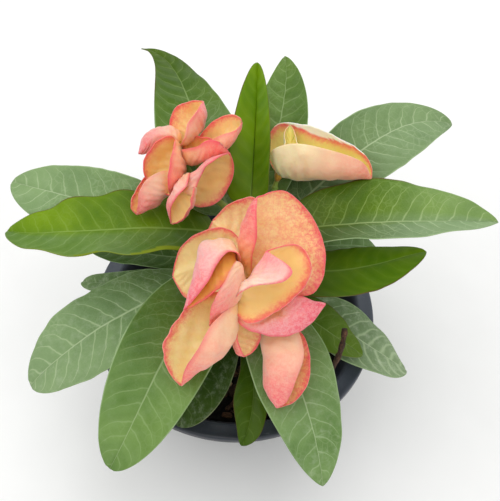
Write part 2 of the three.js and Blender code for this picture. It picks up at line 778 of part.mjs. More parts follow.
function leafGrid(leaf) {
  const { rows, columns } = LEAF;
  const rootRadius = stemRadius(leaf.height) - LEAF.rootDepth;
  const point = stemCentre(leaf.height).addScaledVector(direction(leaf.heading, 0), rootRadius);
  const grid = [];
  for (let i = 0; i <= rows; i++) {
    const s = i / rows;
    if (i > 0) point.addScaledVector(leafFrame(leaf, s - 0.5 / rows).along, leaf.length / rows);
    const { across, up } = leafFrame(leaf, s);
    const x = alongBlade(s);
    const stalk = LEAF.stalkHalfWidth * (1 - smoothstep(LEAF.stalkFade * x, 0, 1));
    const slope = rad(leaf.fold) * smoothstep(LEAF.foldStart * s, 0, 1);
    const fade = smoothstep(LEAF.waveStart * s, 0, 1) * smoothstep(LEAF.waveEnd * (1 - s), 0, 1);
    const row = [];
    for (let j = 0; j <= columns; j++) {
      const v = (2 * j) / columns - 1;
      const blade = (leaf.width / 2) * fullnessAt(x, leaf.baseFullness, leaf.tipFullness);
      const skewed = blade * (1 + Math.sign(v) * leaf.skew);
      const halfWidth = Math.max(Math.hypot(skewed, stalk), LEAF.tipHalfWidth);
      const phase = 2 * Math.PI * leaf.waves * s + (v > 0 ? LEAF.waveShift : 0);
      const ripple = leaf.wave * v * v * Math.sin(phase) * fade;
      row.push(
        point
          .clone()
          .addScaledVector(across, halfWidth * v * Math.cos(slope))
          .addScaledVector(up, halfWidth * Math.abs(v) * Math.sin(slope) + ripple),
      );
    }
    grid.push(row);
  }
  return grid;
}

const leafSolid = (leaf, grow = 0) => blade(leafGrid(leaf), LEAF.thickness, grow);

// --------------------------------------------------------------------- blooms

const throughPoints = (points) => new THREE.CatmullRomCurve3(points.map(vec), false, "catmullrom");

// The keel and both margins are smooth curves from the bloom's centre to the tip of the bract. Each half
// spans from the keel to its margin and bellies out behind. A half whose margin lies across the other one is
// folded over.
function bractGrid(bract, centre) {
  const { rows, halfColumns, firstShare, lastShare } = BRACT;
  const [keel, left, right] = [bract.keel, bract.left, bract.right].map((points) =>
    throughPoints([centre, ...points, bract.tip]),
  );
  const half = (side, margin, cup) => {
    const across = margin.getPoint(0.5).sub(keel.getPoint(0.5));
    const outward = keel.getTangent(0.5).cross(across).multiplyScalar(side).normalize();
    return { margin, outward, cup };
  };
  const [leftHalf, rightHalf] = [half(-1, left, bract.cupLeft), half(1, right, bract.cupRight)];
  const grid = [];
  for (let i = 0; i < rows; i++) {
    // Rows lie closer together near both ends, where the outline turns fastest.
    const u = lerp(firstShare, lastShare, 0.5 - 0.5 * Math.cos((Math.PI * i) / (rows - 1)));
    const row = [];
    for (let j = -halfColumns; j <= halfColumns; j++) {
      const v = Math.abs(j) / halfColumns;
      const { margin, outward, cup } = j < 0 ? leftHalf : rightHalf;
      const belly = cup * 4 * v * (1 - v) * Math.sin(Math.PI * u);
      row.push(keel.getPoint(u).lerp(margin.getPoint(u), v).addScaledVector(outward, belly));
    }
    grid.push(row);
  }
  return grid;
}

// Direction in which the cup at the centre of a bloom opens.
const bloomAxis = (bloom) => vec(bloom.centre).sub(vec(CUP.opensFrom)).normalize();

function cupSolid(bloom, grow) {
  const { radius, footShare, shoulder, height, depth, glands, glandRelief } = CUP;
  // Height, share of the radius and relief: a narrow foot, a full body and a lobed rim.
  const profile = [
    [-depth - grow, footShare, 0],
    [shoulder, 1, 0],
    [height + grow, 1, glandRelief],
  ];
  const rings = profile.map(([z, share, relief]) => {
    const ring = [];
    for (let side = 0; side < 2 * glands; side++) {
      const turn = (Math.PI * side) / glands;
      const reach = radius * share + grow + (side % 2 ? -relief : relief);
      ring.push(new THREE.Vector3(reach * Math.cos(turn), reach * Math.sin(turn), z));
    }
    return ring;
  });
  const turned = new THREE.Quaternion().setFromUnitVectors(new THREE.Vector3(0, 0, 1), bloomAxis(bloom));
  const placed = new THREE.Matrix4().compose(vec(bloom.centre), turned, new THREE.Vector3(1, 1, 1));
  return loft(rings).transform(placed.elements);
}

const bloomSolid = (bloom, grow = 0) =>
  joined([
    cupSolid(bloom, grow),
    ...bloom.bracts.map((bract) => blade(bractGrid(bract, bloom.centre), BRACT.thickness, grow)),
  ]);

function stalkSolid(stalk, grow = 0) {
  const { lowRadius, highRadius, branchRadius, approach, sides, trunkSteps, branchSteps } = STALK;
  const fork = stalk.trunk.at(-1);
  const pieces = [rod(stalk.trunk, lowRadius + grow, highRadius + grow, sides, trunkSteps)];
  for (const name of stalk.blooms) {
    const bloom = BLOOMS[name];
    const end = vec(bloom.centre);
    const below = end.clone().addScaledVector(bloomAxis(bloom), -approach);
    const path = [fork, below.toArray(), end.toArray()];
    pieces.push(rod(path, highRadius + grow, branchRadius + grow, sides, branchSteps));
  }
  return joined(pieces);
}

// ------------------------------------------------------------------- assembly

// Every piece in order of rank: a piece gives way to the ones listed before it where they would touch.
const ranked = [["pot", pot, "pot"], ["stem", stem, "stem"]];
for (const [name, bloom] of Object.entries(BLOOMS)) {
  ranked.push([name, (grow) => bloomSolid(bloom, grow), "bloom"]);
}
for (const [name, leaf] of Object.entries(LEAVES)) {
  ranked.push([name, (grow) => leafSolid(leaf, grow), GLOSSY_LEAVES.has(name) ? "glossy" : "dusty"]);
}
for (const [name, stalk] of Object.entries(STALKS)) {
  ranked.push([name, (grow) => stalkSolid(stalk, grow), "stalk"]);
}
ranked.push(["twig", twig, "twig"], ["soil", soil, "soil"]);

const group = new THREE.Group();
group.name = "crown_of_thorns_plant";
const placed = [];
for (const [name, make, finish] of ranked) {
  let solid = make(0);
  for (const earlier of placed) {
    if (name !== "pot" && earlier.name === "pot") continue;
    if (solid.intersect(earlier.grown).volume() > 0) solid = solid.subtract(earlier.grown);
  }
  solid = largestBody(solid);
  placed.push({ name, grown: make(GAP) });
  const [color, roughness] = FINISHES[finish];
  const mesh = new THREE.Mesh(
    geometryOf(solid),
    new THREE.MeshStandardMaterial({ color, roughness, metalness: 0 }),
  );
  mesh.name = name;
  group.add(mesh);
}

export default group;
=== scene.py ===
"""Crown of thorns (a large-flowered Euphorbia milii hybrid) in a squat round pot.

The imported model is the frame. Every node is replaced by a finer piece of the same form.
The plant's tables are in millimetres; meshes are made in metres.
"""

import math

import bpy
import numpy as np
from mathutils import Euler, Matrix, Vector


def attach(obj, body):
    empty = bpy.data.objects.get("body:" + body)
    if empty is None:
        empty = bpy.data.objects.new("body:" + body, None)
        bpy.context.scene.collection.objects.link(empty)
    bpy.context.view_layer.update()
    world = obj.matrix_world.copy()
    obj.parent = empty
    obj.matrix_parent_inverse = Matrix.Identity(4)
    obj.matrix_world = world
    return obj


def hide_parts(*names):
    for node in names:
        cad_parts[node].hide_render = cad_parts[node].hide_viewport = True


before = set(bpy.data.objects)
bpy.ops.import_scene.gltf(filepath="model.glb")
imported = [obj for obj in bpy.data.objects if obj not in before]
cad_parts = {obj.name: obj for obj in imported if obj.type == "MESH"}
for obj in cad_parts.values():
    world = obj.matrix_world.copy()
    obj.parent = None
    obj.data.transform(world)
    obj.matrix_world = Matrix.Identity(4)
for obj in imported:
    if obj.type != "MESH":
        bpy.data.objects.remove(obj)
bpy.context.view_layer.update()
MM = 0.001

# ---------------------------------------------------------------- dimensions

# Lengths are in millimetres and angles in degrees. Only the camera's place and the studio's centre and lights
# are in metres, and chip_tilt, stamen_turn and knob_phase in radians.
POT = dict(
    height=76, rim_radius=75, lip_width=8, lip_drop=4, lip_thickness=1.8,
    wall=1.9, base_radius=45, floor=2.4, rounding=1.2, sides=144,
    drain_holes=6, drain_radius=4, drain_circle=30,
)
SOIL = dict(
    top=62, unevenness=1.1, ripple_length=44, mound_height=1.6, mound_radius=22, edge_drop=1.6,
    clearance=0.3, sides=180, rings=60,
    bumps=0.7, fine_bumps=0.45, chip_roughness=0.11, seed=4711,
    chips=26, chip_least=(5, 3.5, 3), chip_most=(11, 7.5, 5.5), chip_tilt=0.35, chip_edge=7,
    crumbs=260, crumb_size=(1.2, 5.5), crumb_edge=3, pale_crumbs=0.05,
)
STEM = dict(
    foot=58, top=152, lean=4, bow=1.5, low_radius=8, high_radius=6, soil_level=60,
    knob=0.7, knobs=3, knob_turn=20, crown_taper=0.28, crown_height=5, rings=110, sides=40,
    roughness=0.35, fine_roughness=0.2,
)
THORN = dict(
    first_height=67, spacing=3.7, count=23, golden_angle=137.5, pair_spread=15,
    longest=16, shortest=9, least_rise=8, most_rise=30, crown_start=94, crown_length=6,
    leaf_height=9, leaf_turn=32, root_radius=1.3, root_depth=2.5, sag=0.04, seed=97,
)
TWIG = dict(
    foot=(46, -28, 48), elbow=(51, -41, 100), tip=(52, -36, 126), low_radius=1.6, high_radius=1.2,
    knob=0.14, knob_phase=34, swelling=0.25, swelling_place=0.93, swelling_width=0.03, roughness=0.16,
)
LEAF = dict(
    stalk_half_width=1.6, stalk_share=0.1, stalk_fade=4, root_depth=1, tip_half_width=0.3, lobes=2.3,
    droop_power=1.3, hook_power=4, fold_start=3, wave_start=2.5, wave_end=4, wave_shift=1.9,
    thickness=0.8, thinnest=0.25, rib=1.3, rib_width=1.1, rows=140, columns=36, edge_crowding=1.15,
    vein_spacing=7.5, vein_rake=0.55, vein_hook=0.85, vein_offset=0.43, stripe_width=1.3,
    groove_depth=0.55, groove_width=1.0, groove_start=6, unevenness=0.22, edge_unevenness=0.35,
    rib_taper=0.8, edge_thinning=0.6, tip_thinning=0.5,
    curl_start=0.12, curl_length=0.36, seed_step=40.0,
)
BRACT = dict(
    first_share=0.03, last_share=0.99, thickness=0.7, rows=72, half_columns=22, edge_crowding=1.25,
    rolled_rim=0.5, crinkle=0.38, edge_crinkle=0.25, pleat=0.28, pleats=9, pleat_slant=1.6,
    pleat_waver=0.25, edge_thinning=0.45, tip_zone=0.1,
)
CUP = dict(
    radius=2.1, depth=2.2, glands=5, opens_from=(4, 0, 90), turned_to=(0.3, 0.9, 0.2),
    stamens=5, stamen_turn=2.4, stamen_lean=0.35, stamen_length=2.6,
)
STALK = dict(
    low_radius=2, high_radius=1.4, branch_radius=1.1, approach=7,
    knob=0.06, knob_phase=40, joint=0.5, joint_place=0.55, joint_width=0.05,
)
CAMERA = dict(place=(0.005, -0.222, 0.447), elevation=55, roll=5.5, lens=57.6, sensor=36)
# Each light: place, size and power.
STUDIO = dict(
    centre=(0, 0, 0.12), surround=0.62, floor_half=3000,
    lights=dict(
        key=((-0.3, -0.1, 0.95), 1.2, 5.2),
        fill=((0.7, -0.5, 0.6), 0.8, 1.6),
        back=((0.1, 0.8, 0.6), 0.6, 2),
    ),
)

# The shape of each leaf: height in mm at which it leaves the stem, heading and rise there, how far it droops,
# sweeps and hooks sideways by its tip, length and width, roll, twist and fold, fullness towards base and tip,
# how much wider the right half is than the left one, and the height and number of its waves.
LEAF_COLUMNS = (
    "height", "heading", "rise", "droop", "sweep", "hook", "length", "width", "roll", "twist", "fold",
    "base_fullness", "tip_fullness", "skew", "wave", "waves",
)
LEAF_SHAPES = {
    "leaf_back_left":        (134,  128, 33, 53, -37,  62, 128, 42,  0, -6,  8, 0.45, 1.25, -0.11, 1.0,    2),
    "leaf_left_upper":       (128,  172, 15, 30,  -3, -14, 119, 38,  8,  6,  7, 0.75, 0.65, -0.04, 0.8,    2),
    "leaf_left_bright":      (141,  182,  7, 28,  14, -38, 113, 39, -7,  6, 14,  0.4,  0.6,  0.03, 1.6, 4.15),
    "leaf_upright_bright":   (147,   93, 44, 31,  -1,   3,  77, 23,  3, -4, 34, 0.25, 0.65,  -0.2, 0.6,    2),
    "leaf_back_centre":      (130,   78, 30, 20,   5,  18, 101, 30,  6,  4,  8, 0.65,  0.8,     0, 0.8,    2),
    "leaf_back_right":       (129,   39, 31, 48,  18, -54, 128, 39, -2,  0,  7,  0.8,  0.7,  0.06, 0.8,    2),
    "leaf_right_bright":     (142,    8, 12, 20,  -2,   6, 115, 37,  4, -4, 24, 0.45, 0.75, -0.16, 1.0,  2.5),
    "leaf_right_deep":       (130,  -35, 10,  8,  92, -40,  86, 29,  5,  2,  4,  0.4, 0.65,  0.15, 0.8,    2),
    "leaf_right_hidden":     (118,   15, 13, 55,  11,  -2,  72, 28,  2,  2,  8,  0.8,  0.7,     0, 0.6,    2),
    "leaf_behind_bloom":     (120,   57, 25, 40, -10, -24,  73, 28, 10,  6, 12,  0.8,  0.7,     0, 0.6,    2),
    "leaf_low_right_curved": ( 88,  -11, 12, 57, -25,  44,  96, 35,  2, 15,  2, 0.85,  0.7,     0, 1.4,  2.5),
    "leaf_low_right_short":  (106,  -32, -3, 22,  13,   0,  68, 26, -4, 18,  6, 0.65, 0.65,     0, 0.8,    2),
    "leaf_front_right":      (118,  -66, 15, 56,   3, -12, 113, 38,  3,  4,  5, 0.65, 0.75,  0.05, 1.2,  2.5),
    "leaf_front_narrow":     (106,  -79,  9, 45,   2, -40,  84, 17,  5,  3, 12,  1.3, 0.65,     0, 0.8,    2),
    "leaf_front_dark":       (102, -105,  9, 52,  -1,  -9,  78, 33,  0,  0, 14,  0.9, 0.65,     0, 1.0,  2.5),
    "leaf_front_left":       (124, -122, 16, 66,  24, -28, 120, 42,  4,  4, 10, 0.45,  0.6,     0, 0.8,    2),
    "leaf_low_left":         (114, -146, 14, 60,   0,   0, 118, 41,  0,  0,  7, 0.75,  0.6, -0.04, 1.2,  2.5),
    "leaf_left_folded":      (104,  188,  5, 41,   0, -45,  83, 12,  8,  0,  8,  0.9, 0.45,     0, 0.8,    2),
    "leaf_left_shaded":      (115,  182,  5, 16,  -7,  -2,  73, 22, -3,  0,  8,  0.8,  0.7,   0.2, 0.8,    2),
}

# How each leaf looks. olive and dark: from dusty grey-green to saturated green, and how deep the colour is,
# each at the base and at the tip. half: how much more olive the left half is than the right one. veined: how
# pale the veins are. quilt: height of the swellings between the side veins. dust: strength of pale specks.
# striped: how broad the side veins get towards the tip. curl: width of a strip of underside along the left
# edge, as a share of the half. lobed: how far the edge goes in and out, as a share of the half.
LEAF_USUAL = dict(half=0.0, dust=0.15, striped=0.0, curl=0.0, lobed=0.0)
LEAF_LOOKS = dict(
    leaf_back_left=dict(olive=(-0.5, 1.0), half=0.1, dark=(-0.5, 0.75), veined=0.4, quilt=0.25),
    leaf_left_upper=dict(olive=(0.15, 0.05), dark=(0.05, 0.0), veined=0.65, quilt=0.3),
    leaf_left_bright=dict(olive=(1.0, 0.9), half=-0.5, dark=(0.6, 0.1), veined=0.25, quilt=0.15, curl=0.3),
    leaf_upright_bright=dict(olive=(1.0, 1.0), dark=(0.3, 0.05), veined=0.05, quilt=0.15),
    leaf_back_centre=dict(olive=(0.4, 0.45), dark=(0.4, 0.3), veined=0.4, quilt=0.6),
    leaf_back_right=dict(olive=(0.2, 0.05), half=0.05, dark=(0.85, 0.15), veined=0.7, quilt=0.4),
    # Its right half and tip are paler grey-green: partly dust, partly a painted sheen of a broad highlight.
    leaf_right_bright=dict(olive=(1.0, 0.15), half=0.4, dark=(0.85, 0.0), veined=0.8, quilt=0.15),
    leaf_right_deep=dict(olive=(1.0, 1.0), dark=(0.85, 0.25), veined=0.05, quilt=0.0),
    leaf_right_hidden=dict(olive=(0.2, 0.1), dark=(0.4, 0.2), veined=0.4, quilt=0.3),
    leaf_behind_bloom=dict(olive=(0.2, 0.1), dark=(0.5, 0.3), veined=0.3, quilt=0.3),
    # Its broad pale stripes towards the tip are partly side veins, partly painted sheen lines along the
    # rolled tip.
    leaf_low_right_curved=dict(
        olive=(0.1, 0.0), dark=(0.5, 0.3), veined=0.85, quilt=0.3, striped=0.9, dust=0.8,
    ),
    leaf_low_right_short=dict(olive=(0.9, 0.8), dark=(0.65, 0.5), veined=0.3, quilt=0.1),
    leaf_front_right=dict(olive=(0.35, 0.1), dark=(0.52, 0.03), veined=0.5, quilt=0.3, dust=0.4),
    leaf_front_narrow=dict(olive=(1.0, 1.0), dark=(0.95, 0.75), veined=0.3, quilt=0.1, lobed=0.14),
    leaf_front_dark=dict(olive=(0.6, 0.7), dark=(0.95, 0.9), veined=0.5, quilt=0.2, dust=1.3),
    leaf_front_left=dict(olive=(0.45, 0.28), dark=(0.7, 0.02), veined=0.32, quilt=0.3),
    leaf_low_left=dict(olive=(0.25, 0.1), dark=(0.3, 0.05), veined=0.75, quilt=0.3, dust=0.45, striped=0.1),
    leaf_left_folded=dict(olive=(0.3, 0.1), dark=(0.6, 0.25), veined=0.6, quilt=0.2, dust=0.9),
    leaf_left_shaded=dict(olive=(0.3, 0.2), dark=(0.55, 0.4), veined=0.5, quilt=0.3),
)
LEAVES = {
    name: {**dict(zip(LEAF_COLUMNS, shape)), **LEAF_USUAL, **LEAF_LOOKS[name]}
    for name, shape in LEAF_SHAPES.items()
}

# The bracts of each bloom round its small cup. The points lie on the keel and on the left and right margins,
# from the cup to the tip. cups: how far the left and the right half belly out. Then how the bract looks.
# gold: from pale yellow to orange on the inner face, or lemon below 0. blush: pink mottling. back: from cream
# to pink on the outer face. rose: from salmon to rose pink there. lined: strength of the red line along the
# margins. dry_edge: width of a pale cream painted highlight outside that line, as a share of the half.
BRACT_USUAL = dict(gold=0.0, blush=0.0, back=0.5, rose=0.0, lined=0.8)
BLOOMS = {
    "bloom_front_1": dict(centre=[7, -33, 154], bracts=[
        dict(
            keel=[[1, -28, 164], [0, -21, 173], [3, -14, 181]],
            left=[[6, -30, 168], [7, -26, 177], [6, -20, 185]],
            right=[[19, -35, 150], [34, -36, 154], [38, -24, 163], [31, -11, 174], [18, -5, 183]],
            tip=[6, -10, 184], cups=(1.5, 4), gold=0.25, blush=0.95, back=1.05,
        ),
        dict(
            keel=[[-2, -17, 158]],
            left=[[-3, -25, 150], [-16, -18, 152]],
            right=[[10, -12, 162], [6, 0, 170], [-5, -2, 168]],
            tip=[-13, -9, 163], cups=(2, 3), gold=0.15, blush=0.5, back=0.5,
        ),
    ]),
    "bloom_front_2": dict(centre=[0, -29, 157], bracts=[
        dict(
            keel=[[-9, -23, 152], [-19, -27, 151]],
            left=[[-5, -34, 146], [-13, -41, 144], [-22, -39, 146]],
            right=[[0, -16, 160], [-8, -13, 164], [-19, -16, 162], [-26, -23, 157]],
            tip=[-28, -32, 150], cups=(2, 2), gold=0.1, blush=0.15, back=0.75,
        ),
        dict(
            keel=[[-3, -24, 170], [-15, -26, 171], [-17, -35, 169], [-18, -45, 165]],
            left=[[0, -40, 172], [-5, -47, 170], [-11, -51, 165]],
            right=[[1, -35, 175], [-4, -35, 178], [-8, -40, 176], [-11, -47, 173], [-16, -52, 166]],
            tip=[-20, -54, 159], cups=(1, 1.5), gold=0.95, blush=0.2, back=0.8, rose=1.0,
        ),
        dict(
            keel=[[2, -39, 173], [-2, -50, 168]],
            left=[[0, -39, 177], [-4, -49, 175], [-8, -55, 167]],
            right=[[4, -38, 163], [3, -45, 158], [-3, -52, 153]],
            tip=[-9, -58, 155], cups=(0.5, 0.5), gold=0.5, blush=0.3, back=0.6, rose=0.3,
        ),
    ]),
    "bloom_front_3": dict(centre=[2, -42, 152], bracts=[
        dict(
            keel=[[3, -51, 146], [1, -60, 143], [-5, -66, 139], [-12, -69, 135]],
            left=[[-1, -51, 160], [-7, -59, 160], [-12, -69, 155], [-17, -73, 144]],
            right=[[-8, -43, 158], [-18, -49, 156], [-26, -60, 150], [-27, -68, 144], [-23, -73, 136]],
            tip=[-19, -75, 131], cups=(3, 5), gold=0.05, blush=0.15, back=0.6, rose=0.15,
        ),
        dict(
            keel=[[2, -42, 162], [7, -38, 168]],
            left=[[1, -47, 163], [7, -47, 172], [19, -49, 181], [22, -44, 183]],
            right=[
                [2, -50, 154], [9, -55, 156], [21, -48, 160], [29, -41, 166],
                [31, -34, 173], [25, -28, 177], [18, -30, 178],
            ],
            # Its outer face is pale pinkish white: partly its own colour, partly a painted highlight on the
            # fold.
            tip=[12, -31, 175], cups=(1.5, 6), gold=0.35, back=0.3, rose=1.0,
        ),
    ]),
    "bloom_front_4": dict(centre=[14, -44, 148], bracts=[
        dict(
            keel=[[22, -49, 154], [31, -46, 154]],
            left=[[3, -50, 151], [7, -55, 150], [22, -56, 148], [33, -50, 149]],
            right=[[18, -39, 153], [27, -39, 155], [35, -39, 153]],
            tip=[40, -39, 151], cups=(0.5, 0.5), gold=0.4, blush=1.1, back=1.15, rose=1.0,
        ),
        dict(
            keel=[[2, -49, 143], [1, -55, 140], [3, -60, 138]],
            left=[[13, -47, 143], [13, -53, 139], [10, -59, 137]],
            right=[[4, -49, 146], [3, -56, 144], [5, -60, 141]],
            tip=[7, -61, 137], cups=(2, 0.5), gold=0.2, blush=0.5, back=0.8,
        ),
    ]),
    "bloom_front_5": dict(centre=[22, -43, 138], bracts=[
        dict(
            keel=[[14, -49, 136], [15, -59, 134], [17, -71, 129]],
            left=[[32, -47, 136], [36, -59, 134], [35, -70, 133], [30, -76, 128]],
            right=[[29, -48, 141], [32, -60, 143], [30, -69, 140], [27, -77, 132]],
            tip=[23, -79, 127], cups=(2, 4), gold=0.4, blush=0.7, back=0.55, rose=0.2,
        ),
        dict(
            keel=[[29, -39, 142]],
            left=[[26, -33, 142], [31, -32, 143]],
            right=[[30, -43, 141], [34, -40, 142]],
            tip=[35, -33, 143], cups=(1, 1), gold=0.4, blush=0.6, back=0.7,
        ),
    ]),
    "bloom_left_1": dict(centre=[-33, 28, 167], bracts=[
        dict(
            keel=[[-25, 31, 172], [-21, 37, 179]],
            left=[[-35, 31, 165], [-38, 38, 170], [-36, 43, 177], [-29, 43, 183]],
            right=[[-29, 20, 182], [-27, 24, 189], [-24, 31, 190]],
            tip=[-23, 43, 184], cups=(4, 2), gold=0.25, blush=0.4, back=0.6, rose=0.3,
        ),
        dict(
            keel=[[-30, 22, 167], [-28, 16, 165], [-31, 10, 162]],
            left=[[-33, 22, 179], [-33, 13, 180], [-34, 6, 175], [-34, 4, 167]],
            right=[[-35, 24, 179], [-42, 21, 177], [-46, 17, 172], [-47, 13, 166], [-42, 9, 159]],
            tip=[-34, 6, 159], cups=(2, 6), gold=0.4, blush=0.1, back=0.75,
        ),
        dict(
            keel=[[-34, 28, 175], [-43, 27, 175]],
            left=[[-33, 36, 170], [-42, 38, 169], [-50, 35, 166]],
            right=[[-34, 28, 168], [-41, 28, 167], [-48, 25, 164]],
            tip=[-51, 24, 165], cups=(1.5, 1.5), gold=0.5, blush=0.3, back=0.65, rose=0.5,
        ),
    ]),
    "bloom_left_2": dict(centre=[-26, 30, 164], bracts=[
        dict(
            keel=[[-16, 21, 174], [-8, 21, 180]],
            left=[[-24, 28, 174], [-18, 31, 182], [-10, 32, 188], [-5, 30, 189]],
            right=[[-19, 21, 180], [-12, 19, 188], [-6, 20, 191]],
            tip=[-4, 29, 187], cups=(4, 2), gold=0.25, blush=0.1, back=0.6,
        ),
        dict(
            keel=[[-27, 21, 165], [-19, 19, 170], [-12, 18, 174]],
            left=[[-30, 25, 170], [-29, 26, 175], [-24, 25, 179], [-16, 23, 181]],
            right=[[-30, 19, 176], [-23, 15, 183], [-18, 16, 187], [-12, 17, 185]],
            tip=[-8, 18, 178], cups=(1.5, 3), gold=0.6, blush=0.2, back=0.9,
        ),
    ]),
    "bloom_left_3": dict(centre=[-30, 22, 155], bracts=[
        dict(
            keel=[[-33, 15, 157], [-35, 10, 154], [-42, 4, 151]],
            left=[[-36, 13, 168], [-43, 8, 168], [-47, 4, 163], [-48, 1, 156]],
            right=[[-37, 20, 162], [-45, 15, 162], [-50, 8, 158], [-52, 2, 153]],
            tip=[-49, 0, 150], cups=(3, 2), gold=0.5, blush=0.4, back=0.55, rose=0.35,
        ),
    ]),
    "bloom_left_4": dict(centre=[-25, 9, 161], bracts=[
        dict(
            keel=[[-28, 4, 166], [-26, 7, 171], [-18, 12, 178]],
            left=[[-23, 0, 168], [-21, 3, 174], [-18, 4, 183], [-13, 6, 188]],
            right=[[-22, 3, 157], [-13, 4, 159], [-7, 10, 166], [-6, 14, 175]],
            tip=[-8, 15, 182], cups=(0.5, 4), gold=0.5, blush=0.15, back=0.75, rose=0.7,
        ),
        dict(
            keel=[[-28, 10, 168], [-32, 4, 166], [-34, -1, 160]],
            left=[[-22, -1, 175], [-22, -8, 176], [-23, -8, 169], [-27, -7, 158]],
            right=[[-25, 8, 174], [-26, 1, 174], [-29, -3, 171], [-32, -5, 164]],
            tip=[-32, -5, 152], cups=(6, 1), gold=0.35, blush=0.1, back=0.75, rose=0.7,
        ),
    ]),
    "bloom_right_1": dict(centre=[15, 27, 155], bracts=[
        dict(
            keel=[[26, 27, 154], [42, 27, 157]],
            left=[[8, 40, 158], [12, 50, 166], [25, 47, 171], [39, 42, 171], [53, 36, 168], [58, 31, 164]],
            right=[[10, 29, 168], [19, 28, 177], [34, 26, 178], [52, 27, 171]],
            # Its cream left end is partly a painted highlight, and its pale edge is a painted highlight.
            tip=[59, 27, 160], cups=(4, 5), gold=-0.4, back=0.38, dry_edge=0.14,
        ),
        dict(
            keel=[[19, 35, 165]],
            left=[[16, 31, 168], [16, 41, 170]],
            right=[[22, 32, 168], [21, 42, 170]],
            tip=[18, 45, 172], cups=(1.5, 1.5), gold=-0.5, back=0.1, lined=0.0,
        ),
    ]),
}

# The trunk of each flower stalk, from the stem by a bend to the place where it forks to its blooms.
STALK_TRUNKS = dict(
    front=[[4, -1, 146], [6, -14, 146], [8, -28, 141]],
    left=[[3, 1, 144], [-8, 9, 150], [-22, 18, 152]],
    right=[[5, 1, 143], [11, 8, 147], [14, 17, 148]],
)

# --------------------------------------------------------------- small maths


def unit(vectors):
    """Vectors of length 1."""
    return vectors / np.maximum(np.linalg.norm(vectors, axis=-1, keepdims=True), 1e-12)


def lerp(start, end, share):
    """A share of the way from start to end."""
    return start + (end - start) * share


def smoothstep(x):
    """From 0 to 1, level at both ends."""
    x = np.clip(x, 0, 1)
    return x * x * (3 - 2 * x)


def direction(heading, rise):
    """Unit direction with a heading and a rise, both in degrees."""
    heading, rise = np.radians(heading), np.radians(rise)
    level = np.cos(rise)
    return np.stack(np.broadcast_arrays(level * np.cos(heading), level * np.sin(heading), np.sin(rise)), -1)


def fullness_at(x, base, tip):
    """Width at x, from 0 (base) to 1 (tip), as a share of the full width."""
    widest = base / (base + tip)
    x = np.clip(x, 0, 1)
    return x**base * (1 - x)**tip / (widest**base * (1 - widest)**tip)


def draw_from(seed):
    """The same small seeded generator of numbers in [0, 1) as the solid model's."""
    state = seed
    while True:
        state = (state * 1664525 + 1013904223) % 2**32
        yield state / 2**32


def roughness_field(points, length, seed, waves=7):
    """A smooth random field from -1 to 1 with features of about the given length."""
    rng = np.random.default_rng(seed)
    total = np.zeros(points.shape[:-1])
    for _ in range(waves):
        axis = unit(rng.normal(size=points.shape[-1]))
        stretch = 2 * math.pi / (length * rng.uniform(0.7, 1.6))
        total += np.sin(points @ axis * stretch + rng.uniform(0, 2 * math.pi))
    return total / math.sqrt(waves / 2) / 1.6


def through(points, share):
    """Places on the smooth curve through the points, which lie at even shares of it."""
    points = np.array(points, float)
    points = np.concatenate([2 * points[:1] - points[1:2], points, 2 * points[-1:] - points[-2:-1]])
    place = np.asarray(share, float) * (len(points) - 3)
    first = np.clip(np.floor(place).astype(int), 0, len(points) - 4)
    w = (place - first)[..., None]
    a, b, c, d = (points[first + k] for k in range(4))
    return b + w / 2 * (c - a + w * (2 * a - 5 * b + 4 * c - d + w * (3 * (b - c) + d - a)))


def bend(path, share):
    """A point on the smooth curve through three points."""
    first, middle, last = (np.array(p, float) for p in path)
    control = 2 * middle - (first + last) / 2
    share = np.asarray(share)[..., None]
    return (1 - share)**2 * first + 2 * share * (1 - share) * control + share**2 * last


# -------------------------------------------------------------------- meshes


def mesh_object(name, points, faces, material, attributes=None):
    """A smooth-shaded object from points in millimetres, lists of faces and values for each point."""
    mesh = bpy.data.meshes.new(name)
    mesh.from_pydata((np.asarray(points) * MM).tolist(), [], faces)
    for key, values in (attributes or {}).items():
        layer = mesh.attributes.new(key, "FLOAT", "POINT")
        layer.data.foreach_set("value", np.asarray(values, np.float32).ravel())
    mesh.polygons.foreach_set("use_smooth", np.ones(len(mesh.polygons), bool))
    mesh.materials.append(material)
    mesh.update()
    piece = bpy.data.objects.new(name, mesh)
    bpy.context.scene.collection.objects.link(piece)
    return piece


def place(piece, node, slot):
    """Lets a piece stand for a node of the frame."""
    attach(piece, "root")
    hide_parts(node)


class Body:
    """Collects parts of one mesh, each with its own values for every point."""

    def __init__(self, *keys):
        self.points, self.faces, self.count = [], [], 0
        self.values = {key: [] for key in keys}

    def add(self, points, faces, **values):
        points = np.asarray(points, float).reshape(-1, 3)
        self.points.append(points)
        self.faces += [tuple(int(i) + self.count for i in face) for face in faces]
        self.count += len(points)
        for key, kept in self.values.items():
            kept.append(np.broadcast_to(np.ravel(values.get(key, 0.0)), len(points)))

    def add_sheet(self, grid, thickness, values):
        """A thin sheet about a grid of points with the same values on both faces. upper is 1 on the upper."""
        points, faces = sheet(grid, thickness)
        shape = grid.shape[:2]
        both = {key: np.tile(np.broadcast_to(value, shape).ravel(), 2) for key, value in values.items()}
        both["upper"] = np.repeat([1.0, 0.0], shape[0] * shape[1])
        self.add(points, faces, **both)

    def made(self, name, material):
        values = {key: np.concatenate(kept) for key, kept in self.values.items()}
        return mesh_object(name, np.concatenate(self.points), self.faces, material, values)


